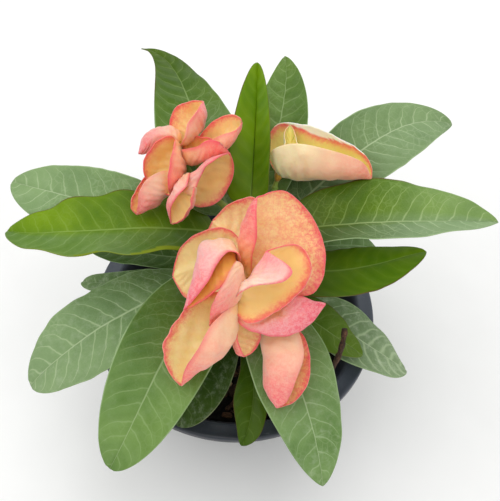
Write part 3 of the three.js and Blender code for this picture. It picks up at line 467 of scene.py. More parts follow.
def sheet(grid, thickness):
    """Points and faces of a thin closed body about a grid of points. Rows run from base to tip and columns
    from left to right; the upper face is seen from across x along. Its points are the first half."""
    rows, columns, _ = grid.shape
    normal = unit(np.cross(np.gradient(grid, axis=1), np.gradient(grid, axis=0)))
    half = (np.broadcast_to(thickness, (rows, columns)) / 2)[..., None]
    points = np.concatenate([(grid + normal * half).reshape(-1, 3), (grid - normal * half).reshape(-1, 3)])
    index = np.arange(rows * columns).reshape(rows, columns)
    corners = [index[:-1, :-1], index[:-1, 1:], index[1:, 1:], index[1:, :-1]]
    top = np.stack([c.ravel() for c in corners], -1)
    bottom = top[:, ::-1] + rows * columns
    rim = np.concatenate([index[0, :-1], index[:-1, -1], index[-1, :0:-1], index[:0:-1, 0]])
    after = np.roll(rim, -1)
    edge = np.stack([rim, rim + rows * columns, after + rows * columns, after], -1)
    return points, np.concatenate([top, bottom, edge]).tolist()


def tube(rings):
    """Points and faces of a closed body through rings, which run counter-clockwise seen from the last."""
    rings = np.asarray(rings, float)
    count, sides, _ = rings.shape
    index = np.arange(count * sides).reshape(count, sides)
    after = np.roll(index, -1, axis=1)
    quads = np.stack([index[:-1].ravel(), after[:-1].ravel(), after[1:].ravel(), index[1:].ravel()], -1)
    return rings.reshape(-1, 3), [*quads.tolist(), index[0, ::-1].tolist(), index[-1].tolist()]


def level_ring(radius, z, sides):
    """Points of a level circle about the middle of the pot."""
    turn = 2 * math.pi * np.arange(sides) / sides
    return np.stack([radius * np.cos(turn), radius * np.sin(turn), np.full_like(turn, z)], -1)


def rings_along(centres, radii, sides):
    """Round rings across a path of points."""
    centres = np.asarray(centres, float)
    along = unit(np.gradient(centres, axis=0))
    helper = np.array([1.0, 0, 0]) if abs(along[0, 0]) < 0.8 else np.array([0, 1.0, 0])
    first = unit(np.cross(along, helper))
    second = np.cross(along, first)
    turn = 2 * math.pi * np.arange(sides) / sides
    radii = np.broadcast_to(np.asarray(radii, float), len(centres))[:, None, None]
    offsets = first[:, None] * np.cos(turn)[None, :, None] + second[:, None] * np.sin(turn)[None, :, None]
    return centres[:, None] + radii * offsets


# ----------------------------------------------------------------- materials


class Value:
    """A number that a shader works out at every point. Arithmetic with it adds nodes to the shader."""

    def __init__(self, shader, socket):
        self.shader, self.socket = shader, socket

    def __add__(self, other):
        return self.shader.math("ADD", self, other)

    def __sub__(self, other):
        return self.shader.math("SUBTRACT", self, other)

    def __rsub__(self, other):
        return self.shader.math("SUBTRACT", other, self)

    def __mul__(self, other):
        return self.shader.math("MULTIPLY", self, other)

    def __truediv__(self, other):
        return self.shader.math("DIVIDE", self, other)

    __radd__, __rmul__ = __add__, __mul__

    def clamped(self):
        return self.shader.math("ADD", self, 0.0, clamp=True)

    def or_more(self, other):
        return self.shader.math("MAXIMUM", self, other)

    def ramp(self, low, high, out_low=0.0, out_high=1.0):
        """Maps low..high to out_low..out_high, smoothly."""
        ends = (low, high, out_low, out_high)
        made = self.shader.node("MapRange", self, *ends, interpolation_type="SMOOTHSTEP")
        return Value(self.shader, made.outputs[0])


class Shader:
    """A node material, with a short way to add and join nodes."""

    def __init__(self, name):
        self.material = bpy.data.materials.new(name)
        self.material.use_nodes = True
        self.tree = self.material.node_tree
        self.surface = self.tree.nodes["Principled BSDF"]

    def feed(self, socket, value):
        """Links a socket or a Value, sets a number or a colour written as #rrggbb, and leaves None alone."""
        if isinstance(value, Value):
            value = value.socket
        if isinstance(value, bpy.types.NodeSocket):
            self.tree.links.new(value, socket)
        elif value is not None:
            socket.default_value = srgb(value) if isinstance(value, str) else value

    def node(self, kind, *inputs, **settings):
        """A node with its inputs in order."""
        made = self.tree.nodes.new("ShaderNode" + kind)
        for key, value in settings.items():
            setattr(made, key, value)
        for socket, value in zip(made.inputs, inputs):
            self.feed(socket, value)
        return made

    def values(self, *names):
        """The values that a mesh holds for every point under these names."""
        read = [self.node("Attribute", attribute_name=name, attribute_type="GEOMETRY") for name in names]
        return [Value(self, made.outputs["Fac"]) for made in read]

    def math(self, operation, *inputs, clamp=False):
        return Value(self, self.node("Math", *inputs, operation=operation, use_clamp=clamp).outputs[0])

    def mix(self, share, first, second):
        made = self.node("Mix", data_type="RGBA")
        self.feed(made.inputs[0], share)
        self.feed(made.inputs[6], first)
        self.feed(made.inputs[7], second)
        return made.outputs[2]

    def noise(self, vector, scale, detail=3.0, roughness=0.5):
        made = self.node("TexNoise", vector, None, scale, detail, roughness)
        return Value(self, made.outputs[0])

    def cells(self, vector, scale):
        """Distance to the edges between irregular cells."""
        made = self.node("TexVoronoi", feature="DISTANCE_TO_EDGE")
        self.feed(made.inputs["Vector"], vector)
        self.feed(made.inputs["Scale"], scale)
        return Value(self, made.outputs["Distance"])

    def place(self):
        return self.node("TexCoord").outputs["Object"]

    def scaled(self, vector, scale):
        return self.node("Mapping", vector, None, None, scale).outputs[0]

    def bump(self, height, depth):
        """depth is in metres."""
        made = self.node("Bump")
        self.feed(made.inputs["Height"], height)
        made.inputs["Distance"].default_value = depth
        return made.outputs[0]

    def finish(self, colour, roughness, normal=None, **fixed):
        self.feed(self.surface.inputs["Base Color"], colour)
        self.feed(self.surface.inputs["Roughness"], roughness)
        self.feed(self.surface.inputs["Normal"], normal)
        for key, value in fixed.items():
            self.surface.inputs[key.replace("_", " ")].default_value = value
        return self.material


def srgb(text):
    """A linear colour from #rrggbb."""
    channels = [int(text[i:i + 2], 16) / 255 for i in (1, 3, 5)]
    linear = [c / 12.92 if c <= 0.04045 else ((c + 0.055) / 1.055)**2.4 for c in channels]
    return (*linear, 1.0)


def leaf_material():
    """Green with a pale midrib, side veins that loop together near the edge, and a fine net between them."""
    s = Shader("leaf")
    along, across, seed, edge, share, phase = s.values("along", "across", "seed", "edge", "share", "phase")
    olive, dark, veined, dust, striped = s.values("olive", "dark", "veined", "dust", "striped")
    upper, curl = s.values("upper", "curl")
    flat = s.node("CombineXYZ", along, across, seed).outputs[0]

    # Side veins: lines across the blade, moved by half a step from one side of the midrib to the other.
    offset = s.math("GREATER_THAN", across, 0.0) * LEAF["vein_offset"]
    wobble = (s.noise(flat, 0.16, 2.0) - 0.5) * 0.5
    from_line = s.math("PINGPONG", phase + offset + wobble, 0.5) * LEAF["vein_spacing"]
    line_width = striped * share.ramp(0.3, 0.9) * LEAF["stripe_width"] + edge.ramp(0.0, 1.0, 0.6, 0.25)
    line = s.math("POWER", (1.0 - from_line / line_width).clamped(), 0.7) * edge.ramp(0.84, 0.96, 1.0, 0.0)
    # The net between them, in patches, and the midrib.
    warp = s.node("TexNoise", flat, None, 0.35, 2.0).outputs[1]
    warped = s.node("VectorMath", flat, warp).outputs[0]
    net = s.cells(warped, 0.26).ramp(0.0, 0.09, 1.0, 0.0) * s.noise(flat, 0.06, 2.0).ramp(0.4, 0.62)
    fine = s.cells(flat, 0.9).ramp(0.0, 0.12, 1.0, 0.0)
    rib = (s.math("ABSOLUTE", across) / share.ramp(0.0, 1.0, 1.25, 0.3)).ramp(0.45, 1.0, 1.0, 0.0)
    veins = (line * 0.75).or_more(net * 0.3).or_more(fine * 0.1) * veined
    veins = veins.or_more(rib * (veined * 0.6 + 0.25))

    grey = s.mix(s.noise(flat, 0.035).ramp(0.3, 0.7), "#4c6e34", "#75925a")
    green = s.mix(s.noise(flat, 0.03).ramp(0.3, 0.7), "#527800", "#739404")
    colour = s.mix(olive, grey, green)
    between = 0.5 - from_line / LEAF["vein_spacing"]
    colour = s.mix(between * 0.3, colour, s.mix(olive, "#86a56a", "#86a523"))
    # A pale grey-green film, stronger towards the tip: partly a dusty bloom, partly a painted sheen.
    pale_film_and_sheen = veined.ramp(0.4, 1.0, 0.0, 0.5) * (1.0 - olive).clamped() * share.ramp(0.1, 1.0, 0.5, 1.4)
    colour = s.mix(pale_film_and_sheen, colour, "#a3ba90")
    colour = s.mix(dark * 0.85, colour, "#142b08")
    colour = s.mix(veins * dark.ramp(0.2, 1.0, 0.8, 0.3), colour, s.mix(olive, "#c2d4ab", "#a3bd6a"))
    specks = s.noise(flat, 0.22, 8.0, 0.72).ramp(0.46, 0.75) * dust * (1.0 - olive * 0.8)
    colour = s.mix(specks * 0.5, colour, "#c9d3bb")
    underside = s.mix(line.or_more(rib), "#7c9560", "#a9bd8d")
    colour = s.mix(upper, underside, colour)
    rim = edge.ramp(0.962, 0.995, 0.0, 0.9) * s.noise(flat, 0.04, 1.0).ramp(0.35, 0.6, 0.4, 1.0)
    colour = s.mix(rim, colour, s.mix(olive.ramp(0.5, 0.9), "#9db684", "#5e4322"))
    colour = s.mix(curl, colour, "#74841a")
    roughness = s.noise(flat, 0.3) * 0.12 + 0.5 - olive * 0.14
    relief = s.noise(flat, 0.9) * 0.3 - veins
    return s.finish(colour, roughness, s.bump(relief, 0.00016), Specular_IOR_Level=0.14)


def bract_material():
    """Inner face from yellow to orange with fine pink specks, outer face from cream to pink, red margins.
    Some of the orange and pale marks are painted shade and highlights.
    """
    s = Shader("bract")
    place = s.place()
    upper, rim, share, lined, dry, cup = s.values("upper", "rim", "share", "lined", "dry", "cup")
    gold, blush, back, rose = s.values("gold", "blush", "back", "rose")
    patches = s.noise(place, 110.0, 3.0, 0.55)
    mottle = s.noise(place, 620.0, 5.0, 0.7)
    flecks = (mottle * 0.65 + s.noise(place, 1500.0, 2.0, 0.6) * 0.35).ramp(0.4, 0.6)

    lemon = s.mix((gold * -2.0).clamped(), "#fde5a6", "#e5d670")
    inner = s.mix((patches * 0.4 + gold - 0.2).clamped(), lemon, "#fab548")
    pink = (rim.ramp(0.74, 1.0, 0.0, 0.7) + blush * rim.ramp(0.1, 0.9, 0.5, 0.95)).clamped()
    inner = s.mix(pink * (flecks * 0.65 + 0.2), inner, "#f47c72")
    # Orange towards the foot of the inner face: partly the bract's own colour, partly painted warm shade of
    # light bounced inside the fold.
    inner = s.mix(share.ramp(0.3, 0.02, 0.0, 0.9) * (gold + 0.15), inner, "#eba232")

    cream = s.mix(back.ramp(0.4, 0.7), "#fdf3c4", "#fbdcaa")
    # Pinkish white cream on rose bracts: partly their own colour, partly a painted highlight.
    cream = s.mix(rose * 0.8, cream, "#fddccf")
    tone = (patches * 0.5 + share * 1.1 + back - 0.85).clamped()
    outer = s.mix(tone, cream, s.mix(rose, "#f98f7e", "#f9999a"))
    tip = (share.ramp(0.5, 1.0, 0.0, 1.6) * back).clamped()
    outer = s.mix(tip, outer, s.mix(rose, "#f4766e", "#f36c7a"))
    outer = s.mix(share.ramp(0.3, 0.9, 0.15, 0.8) * blush, outer, "#ee5f74")
    outer = s.mix(share.ramp(0.5, 0.08) * back.ramp(0.4, 0.9), outer, "#f3b25c")
    # Pale flecks on the outer face: partly the bract's own mottling, partly painted highlights.
    outer = s.mix(flecks * 0.3, outer, s.mix(rose, "#fbd6ae", "#fde0d4"))

    colour = s.mix(upper, outer, inner)
    shown = upper.or_more(rose).or_more(back.ramp(0.45, 0.7))
    line = ((mottle - 0.5) * 0.16 + rim).ramp(0.85, 1.02) * lined * shown
    colour = s.mix(line, colour, "#ea4a62")
    # A pale cream painted highlight along part of a margin.
    colour = s.mix(dry, colour, "#fbf1e2")
    colour = s.mix(cup, colour, "#b98f34")
    relief = patches * 0.8 + mottle * 0.35
    return s.finish(
        colour, mottle.ramp(0.2, 0.8, 0.4, 0.55), s.bump(relief, 0.0007), Specular_IOR_Level=0.35,
        Sheen_Weight=0.25, Sheen_Roughness=0.35,
        Subsurface_Weight=0.6, Subsurface_Scale=0.0014, Subsurface_Radius=(1.0, 0.6, 0.35),
    )


def bark_material(name, light, deep, scale=1.0):
    """Bark with dark cracks that run along it. A larger scale makes the pattern finer."""
    s = Shader(name)
    place = s.place()
    cracks = s.cells(s.scaled(place, (1.0, 1.0, 0.35)), 420.0 * scale).ramp(0.0, 0.12, 1.0, 0.0)
    patches = s.noise(place, 160.0 * scale, 5.0, 0.65)
    colour = s.mix(patches.ramp(0.3, 0.7), deep, light)
    colour = s.mix(cracks * 0.5, colour, "#2a2019")
    relief = patches * 0.7 - cracks
    roughness = patches.ramp(0.2, 0.8, 0.75, 0.95)
    return s.finish(colour, roughness, s.bump(relief, 0.0003), Specular_IOR_Level=0.25)


def stalk_material():
    """Green to yellow-green, with a red-brown tinge in places."""
    s = Shader("stalk")
    place = s.place()
    patches = s.noise(place, 120.0)
    colour = s.mix(patches.ramp(0.35, 0.7), "#6f9138", "#9aa34a")
    colour = s.mix(s.noise(place, 60.0, 2.0).ramp(0.55, 0.8) * 0.5, colour, "#b06a4a")
    return s.finish(colour, 0.5, s.bump(patches, 0.00015), Specular_IOR_Level=0.35)


def pot_material():
    """Black plastic, a little blue, with dust and scratches, and a painted highlight on the lip that painted
    shadow dims at the front.
    """
    s = Shader("pot")
    place = s.place()
    _, front, height = (Value(s, socket) for socket in s.node("SeparateXYZ", place).outputs)
    dust = s.noise(place, 45.0, 6.0, 0.7)
    scratches = s.noise(s.scaled(place, (1.0, 1.0, 6.0)), 260.0, 4.0, 0.8).ramp(0.62, 0.72)
    # Painted light on the lip: a blue-grey painted highlight on its top, held back at the front by the
    # plant's painted shadow.
    lip_highlight = height.ramp((POT["height"] - POT["lip_drop"]) * MM, POT["height"] * MM, 0.0, 0.3)
    lip_highlight = lip_highlight * front.ramp(-0.07, -0.02, 0.15, 1.0)
    colour = s.mix(dust.ramp(0.45, 0.75, 0.0, 0.4), "#22262e", "#4e535e")
    colour = s.mix(lip_highlight, colour, "#747c90")
    colour = s.mix(scratches * 0.35, colour, "#7d828c")
    relief = (s.noise(place, 900.0, 2.0) + scratches) * 0.5
    return s.finish(colour, dust.ramp(0.3, 0.8, 0.34, 0.6), s.bump(relief, 0.00006), Specular_IOR_Level=0.5)


def soil_material():
    """Nearly black mix, with red-brown and tan pieces of bark told apart by their own tone."""
    s = Shader("potting_mix")
    place = s.place()
    tone, = s.values("tone")
    crumbs = s.noise(place, 420.0, 6.0, 0.75)
    fibres = s.noise(s.scaled(place, (1.0, 4.0, 1.0)), 300.0, 4.0, 0.7)
    ground = s.mix(crumbs.ramp(0.35, 0.7), "#050403", "#17110d")
    bark = s.mix(fibres.ramp(0.3, 0.7), "#2a1a12", "#634430")
    colour = s.mix(tone.ramp(0.0, 0.5), ground, bark)
    colour = s.mix(tone.ramp(0.6, 1.0), colour, "#a78d70")
    return s.finish(colour, 0.9, s.bump(crumbs + fibres * 0.5, 0.0005), Specular_IOR_Level=0.2)


def floor_material():
    s = Shader("floor")
    colour = s.mix(s.noise(s.place(), 30.0, 2.0), "#f4f4f3", "#f9f9f8")
    return s.finish(colour, 0.85, Specular_IOR_Level=0.2)


# ------------------------------------------------------------ stem and thorns


def along_stem(z):
    return np.clip((z - STEM["soil_level"]) / (STEM["top"] - STEM["soil_level"]), 0, 1)


def stem_centre(z):
    share = along_stem(z)
    return np.stack(np.broadcast_arrays(STEM["lean"] * share, STEM["bow"] * np.sin(math.pi * share), z), -1)


def stem_radius(z):
    return lerp(STEM["low_radius"], STEM["high_radius"], along_stem(z))


def turn_between(a, b):
    """Angle in degrees between two headings."""
    return abs((a - b + 540) % 360 - 180)


def thorn_places():
    """Height, heading, rise and length of each thorn, in pairs on a spiral, clear of the feet of leaves."""
    draw = draw_from(THORN["seed"])
    for k in range(THORN["count"]):
        height = THORN["first_height"] + k * THORN["spacing"]
        heading = k * THORN["golden_angle"] % 360
        for side in (-1, 1):
            length = THORN["crown_length"]
            if height <= THORN["crown_start"]:
                length = lerp(THORN["shortest"], THORN["longest"], next(draw))
            turn = heading + side * THORN["pair_spread"]
            rise = lerp(THORN["least_rise"], THORN["most_rise"], next(draw))
            near = any(
                abs(leaf["height"] - height) < THORN["leaf_height"]
                and turn_between(leaf["heading"], turn) < THORN["leaf_turn"]
                for leaf in LEAVES.values()
            )
            if not near:
                yield height, turn, rise, length


def make_stem(material):
    """Ridged, rough bark with thorns that taper from a wide foot and sag a little."""
    z = np.linspace(STEM["foot"], STEM["top"], STEM["rings"])[:, None]
    turn = 360 * np.arange(STEM["sides"])[None, :] / STEM["sides"]
    ridge = STEM["knob"] * np.sin(np.radians(STEM["knobs"] * turn + STEM["knob_turn"] * z))
    crown = 1 - STEM["crown_taper"] * smoothstep((z - STEM["top"]) / STEM["crown_height"] + 1)
    outward = direction(turn, 0)
    points = stem_centre(z) + ((stem_radius(z) + ridge) * crown)[..., None] * outward
    rough = STEM["roughness"] * roughness_field(points, 6, 11)
    rough = rough + STEM["fine_roughness"] * roughness_field(points, 2.2, 12)
    body = Body()
    body.add(*tube(points + rough[..., None] * outward))
    # Places along a thorn, below 0 inside the stem, and its radius there.
    reach = np.array([-1, -0.35, 0, 0.25, 0.55, 0.8, 0.94, 1.0])
    width = THORN["root_radius"] * np.array([1.25, 1.2, 1.0, 0.72, 0.46, 0.25, 0.1, 0.02])
    for height, heading, rise, length in thorn_places():
        depth = np.where(reach < 0, reach * THORN["root_depth"], reach * length)
        start = stem_centre(height) + stem_radius(height) * direction(heading, 0)
        centres = start + depth[:, None] * direction(heading, rise)
        centres[:, 2] -= THORN["sag"] * length * np.clip(reach, 0, 1)**2
        body.add(*tube(rings_along(centres, width, 10)))
    place(body.made("thorny_stem", material), "stem", "bark")


def make_twig(material):
    """A knobbly stick with a swelling below its broken end."""
    share = np.linspace(0, 1, 40)
    centres = bend((TWIG["foot"], TWIG["elbow"], TWIG["tip"]), share)
    swelling = np.exp(-((share - TWIG["swelling_place"]) / TWIG["swelling_width"])**2)
    knobs = TWIG["knob"] * np.sin(share * TWIG["knob_phase"]) + TWIG["swelling"] * swelling
    points = rings_along(centres, lerp(TWIG["low_radius"], TWIG["high_radius"], share) * (1 + knobs), 14)
    rough = TWIG["roughness"] * roughness_field(points, 2.0, 31)
    points = points + rough[..., None] * unit(points - centres[:, None])
    place(mesh_object("dry_twig", *tube(points), material), "twig", "twig")


# --------------------------------------------------------------------- leaves


def leaf_frame(leaf, s):
    """Directions along and across a leaf, and up from its face, at places along it."""
    heading = leaf["heading"] + leaf["sweep"] * s + leaf["hook"] * s**LEAF["hook_power"]
    along = direction(heading, leaf["rise"] - leaf["droop"] * s**LEAF["droop_power"])
    level = direction(heading - 90, 0)
    above = np.cross(level, along)
    roll = np.radians(leaf["roll"] + leaf["twist"] * s)[..., None]
    return along, level * np.cos(roll) + above * np.sin(roll), above * np.cos(roll) - level * np.sin(roll)


def leaf_spine(leaf, s):
    """Points of the midrib, which starts just inside the stem."""
    steps = leaf_frame(leaf, (s[:-1] + s[1:]) / 2)[0] * leaf["length"] / LEAF["rows"]
    outward = stem_radius(leaf["height"]) - LEAF["root_depth"]
    root = stem_centre(leaf["height"]) + outward * direction(leaf["heading"], 0)
    return root + np.concatenate([np.zeros((1, 3)), np.cumsum(steps, axis=0)])


def leaf_half_width(leaf, s, v):
    """Distance from the midrib to the edge. A narrow stalk at the foot fades into the blade."""
    x = np.clip((s - LEAF["stalk_share"]) / (1 - LEAF["stalk_share"]), 0, 1)
    stalk = LEAF["stalk_half_width"] * (1 - smoothstep(LEAF["stalk_fade"] * x))
    blade = leaf["width"] / 2 * fullness_at(x, leaf["base_fullness"], leaf["tip_fullness"])
    whole = np.maximum(np.hypot(blade * (1 + np.sign(v) * leaf["skew"]), stalk), LEAF["tip_half_width"])
    lobes = np.sin(2 * math.pi * (LEAF["lobes"] * s + np.where(v > 0, 0.5, 0.0)))
    return whole * (1 + leaf["lobed"] * lobes)


def leaf_veins(along_mm, across_mm, reach):
    """Which side vein a point belongs to: a whole number on a vein, and a half between two. The veins leave
    the midrib at a slant and turn towards the tip near the edge, where each meets the next."""
    slant = along_mm - LEAF["vein_rake"] * np.abs(across_mm)
    return slant / LEAF["vein_spacing"] - LEAF["vein_hook"] * reach**5


def make_leaf(name, leaf, seed, material):
    """A thin blade on a bent midrib, with swellings between the side veins and a groove over the midrib."""
    s = np.linspace(0, 1, LEAF["rows"] + 1)
    v = np.linspace(-1, 1, LEAF["columns"] + 1)
    v = (np.sign(v) * (1 - (1 - np.abs(v))**LEAF["edge_crowding"]))[None, :]
    spine = leaf_spine(leaf, s)
    _, across, up = leaf_frame(leaf, s)
    s = s[:, None]
    reach = np.abs(v)
    half_width = leaf_half_width(leaf, s, v)
    slope = np.radians(leaf["fold"]) * smoothstep(LEAF["fold_start"] * s)
    fade = smoothstep(LEAF["wave_start"] * s) * smoothstep(LEAF["wave_end"] * (1 - s))
    phase = 2 * math.pi * leaf["waves"] * s + np.where(v > 0, LEAF["wave_shift"], 0)
    ripple = leaf["wave"] * v * v * np.sin(phase) * fade

    along_mm = s * leaf["length"]
    across_mm = v * half_width
    vein = leaf_veins(along_mm, across_mm, reach)
    swell = -np.cos(2 * math.pi * (vein + np.where(v > 0, LEAF["vein_offset"], 0)))
    relief = leaf["quilt"] * swell * np.sin(math.pi * reach) * fade
    groove = np.exp(-((across_mm / LEAF["groove_width"])**2)) * smoothstep(LEAF["groove_start"] * s)
    relief = relief - LEAF["groove_depth"] * groove
    flat = np.stack(np.broadcast_arrays(along_mm, across_mm, LEAF["seed_step"] * seed), -1)
    relief = relief + LEAF["unevenness"] * roughness_field(flat, 17, seed) * fade
    relief = relief + LEAF["edge_unevenness"] * reach**3 * roughness_field(flat, 9, seed + 50) * fade
    height = half_width * reach * np.sin(slope) + ripple + relief
    sideways = half_width * v * np.cos(slope)
    grid = spine[:, None] + sideways[..., None] * across[:, None] + height[..., None] * up[:, None]

    rib = LEAF["rib"] * np.exp(-((across_mm / LEAF["rib_width"])**2)) * (1 - LEAF["rib_taper"] * s)
    thickness = LEAF["thickness"] * (1 - LEAF["edge_thinning"] * reach**6) + rib
    thickness = thickness * (1 - LEAF["tip_thinning"] * smoothstep(20 * s - 19))
    thickness = np.maximum(thickness, LEAF["thinnest"])
    # Where a wavy left edge curls up, it shows a strip of the olive underside.
    bulge = np.abs(np.sin(math.pi * (s - LEAF["curl_start"]) / LEAF["curl_length"]))
    strip = leaf["curl"] * bulge * (1 - s)**2
    olive, dark = (lerp(*leaf[key], smoothstep(1.3 * s - 0.1)) for key in ("olive", "dark"))
    olive = np.clip(olive - np.sign(v) * smoothstep(3 * reach) * leaf["half"], 0, 1)
    values = dict(
        along=along_mm, across=across_mm, edge=reach, share=s, phase=vein, olive=olive, dark=dark,
        curl=reach > 1 - strip * (v < 0), veined=leaf["veined"], dust=leaf["dust"], striped=leaf["striped"],
        seed=LEAF["seed_step"] * seed,
    )
    body = Body(*values, "upper")
    body.add_sheet(grid, thickness, values)
    slot = "leaf_glossy" if leaf["olive"][0] > 0.7 else "leaf_dusty"
    place(body.made(name.replace("leaf_", "blade_"), material), name, slot)


# --------------------------------------------------------------------- blooms


def bloom_axis(bloom):
    """Direction in which the cup at the centre of a bloom opens."""
    return unit(np.subtract(bloom["centre"], CUP["opens_from"]).astype(float))


def add_bract(body, bract, centre, seed):
    """The keel and both margins are smooth curves from the bloom's centre to the tip. Each half spans from
    the keel to its margin and bellies out behind. A half with its margin across the other is folded over."""
    keel, left, right = ([centre, *bract[key], bract["tip"]] for key in ("keel", "left", "right"))
    rows, half = BRACT["rows"], BRACT["half_columns"]
    even = 0.5 - 0.5 * np.cos(math.pi * np.arange(rows) / (rows - 1))
    u = lerp(BRACT["first_share"], BRACT["last_share"], even)[:, None]
    v = 1 - (1 - np.linspace(0, 1, half + 1)[None, :])**BRACT["edge_crowding"]
    tangent = unit(through(keel, 0.501) - through(keel, 0.499))
    arch = np.sin(math.pi * u)
    halves = []
    for side, margin, cup in zip((-1, 1), (left, right), bract["cups"]):
        outward = unit(np.cross(tangent, through(margin, 0.5) - through(keel, 0.5)) * side)
        lift = (cup * 4 * v * (1 - v) - BRACT["rolled_rim"] * v**6) * arch
        grid = lerp(through(keel, u), through(margin, u), v[..., None])
        halves.append(grid + lift[..., None] * outward)
    grid = np.concatenate([halves[0][:, :0:-1], halves[1]], axis=1)
    v = np.concatenate([v[:, :0:-1], v], axis=1)

    normal = unit(np.cross(np.gradient(grid, axis=1), np.gradient(grid, axis=0)))
    crinkle = BRACT["crinkle"] * roughness_field(grid, 7, seed)
    crinkle = crinkle + BRACT["edge_crinkle"] * v**4 * roughness_field(grid, 5, seed + 1)
    pleats = BRACT["pleats"] * u - BRACT["pleat_slant"] * v
    pleats = pleats + BRACT["pleat_waver"] * roughness_field(grid, 14, seed + 2)
    crinkle = crinkle + BRACT["pleat"] * np.sin(2 * math.pi * pleats) * np.sin(math.pi * v)
    grid = grid + (crinkle * arch)[..., None] * normal
    to_tip = 1 - smoothstep((u - 1) / BRACT["tip_zone"] + 1)
    # Some bracts have a pale cream painted highlight outside the red line, along the middle of the left
    # margin.
    inside_highlight = 1 - bract.get("dry_edge", 0.0) * arch**16 * (np.arange(2 * half + 1) < half)
    values = {key: bract.get(key, usual) for key, usual in BRACT_USUAL.items()}
    values.update(rim=1 - (1 - np.minimum(v / inside_highlight, 1)) * to_tip, share=u, dry=v > inside_highlight + 0.001)
    body.add_sheet(grid, BRACT["thickness"] * (1 - BRACT["edge_thinning"] * v**5), values)


def add_cup(body, bloom):
    """A small green-gold cup with five rounded glands round a hollow with a few stamens."""
    axis = bloom_axis(bloom)
    first = unit(np.cross(axis, CUP["turned_to"]))
    second = np.cross(axis, first)
    turn = 2 * math.pi * np.arange(40) / 40
    lobes = np.cos(CUP["glands"] * turn)
    around = np.cos(turn)[:, None] * first + np.sin(turn)[:, None] * second
    centre = np.array(bloom["centre"])
    # Height in mm, radius as a share of the cup's, and how far the glands stand out.
    profile = [
        (-CUP["depth"], 0.5, 0.0), (-1.2, 0.7, 0.0), (0.2, 0.95, 0.0), (1.2, 0.95, 0.03), (2.0, 1.0, 0.12),
        (2.5, 1.12, 0.22), (2.8, 1.02, 0.22), (2.6, 0.7, 0.1), (1.8, 0.5, 0.0), (1.1, 0.3, 0.0),
    ]
    rings = []
    for height, share, relief in profile:
        radius = CUP["radius"] * (share + relief * lobes)
        rings.append(centre + radius[:, None] * around + height * axis)
    body.add(*tube(rings), cup=1.0)
    for k in range(CUP["stamens"]):
        spot = CUP["stamen_turn"] * k
        lean = unit(axis + CUP["stamen_lean"] * (math.cos(spot) * first + math.sin(spot) * second))
        centres = centre + 0.8 * axis + np.linspace(0, CUP["stamen_length"], 6)[:, None] * lean
        body.add(*tube(rings_along(centres, [0.28, 0.26, 0.24, 0.24, 0.5, 0.3], 8)), cup=1.0)


def make_bloom(name, bloom, seed, material):
    body = Body(*BRACT_USUAL, "rim", "share", "dry", "upper", "cup")
    for k, bract in enumerate(bloom["bracts"]):
        add_bract(body, bract, bloom["centre"], 10 * seed + 3 * k)
    add_cup(body, bloom)
    place(body.made(name.replace("bloom_", "bracts_"), material), name, "bract")


def make_stalk(side, trunk, material):
    """A trunk from the stem, and a branch with a joint and a wide end to each bloom on that side."""
    body = Body()
    share = np.linspace(0, 1, 24)
    knobs = STALK["knob"] * np.sin(share * STALK["knob_phase"])
    radius = lerp(STALK["low_radius"], STALK["high_radius"], share) * (1 + knobs)
    body.add(*tube(rings_along(bend(trunk, share), radius, 16)))
    joint = np.exp(-((share - STALK["joint_place"]) / STALK["joint_width"])**2)
    joint = STALK["joint"] * (joint + smoothstep(6 * share - 5))
    radius = lerp(STALK["high_radius"], STALK["branch_radius"], share) * (1 + joint)
    for name, bloom in BLOOMS.items():
        if name.startswith("bloom_" + side):
            end = np.array(bloom["centre"], float)
            below = end - STALK["approach"] * bloom_axis(bloom)
            body.add(*tube(rings_along(bend((trunk[-1], below, end), share), radius, 14)))
    place(body.made("flower_stalk_" + side, material), "stalk_" + side, "stalk")


# --------------------------------------------------------------- pot and soil


def pot_radius(z):
    """Outer radius of the wall at a height."""
    top_radius = POT["rim_radius"] - POT["lip_width"]
    return lerp(POT["base_radius"], top_radius, z / (POT["height"] - POT["lip_thickness"]))


def pot_profile():
    """Radius and height of the turned shell, from the middle of its underside round to that of its floor."""
    height, rim, lip, wall = POT["height"], POT["rim_radius"], POT["lip_thickness"], POT["wall"]
    base, floor, edge = POT["base_radius"], POT["floor"], POT["rounding"]
    under, low, inner = height - lip, height - POT["lip_drop"], rim - POT["lip_width"]
    underside = [
        (0.01, 0), (base * 0.5, 0), (base - edge, 0), (base - 0.3 * edge, 0.3 * edge), (base, edge),
    ]
    outside = [(pot_radius(z), z) for z in np.linspace(8, under - 1.5, 12)]
    lip_below = [
        (pot_radius(under), under - 0.6), (pot_radius(under) + 0.6, under), (rim - lip - 0.6, under),
        (rim - lip, under - 0.6), (rim - lip, low + 0.2), (rim - lip + 0.3, low), (rim - 0.3, low),
    ]
    lip_above = [
        (rim, low + 0.3), (rim, height - edge), (rim - 0.12 * edge, height - 0.5 * edge),
        (rim - 0.5 * edge, height - 0.12 * edge), (rim - edge, height), (rim - 2.2, height - 0.15),
        (inner + 1.6, height - 0.15), (inner + 1.0, height), (inner + 0.3, height),
        (inner - 0.4, height - 0.4), (inner - 0.9, height - 1.2),
    ]
    inside = [(pot_radius(z) - wall, z) for z in np.linspace(under - 2, floor + 3, 12)]
    corner = pot_radius(floor) - wall
    bottom = [(corner, floor + edge), (corner - edge, floor), (0.01, floor)]
    return underside + outside + lip_below + lip_above + inside + bottom


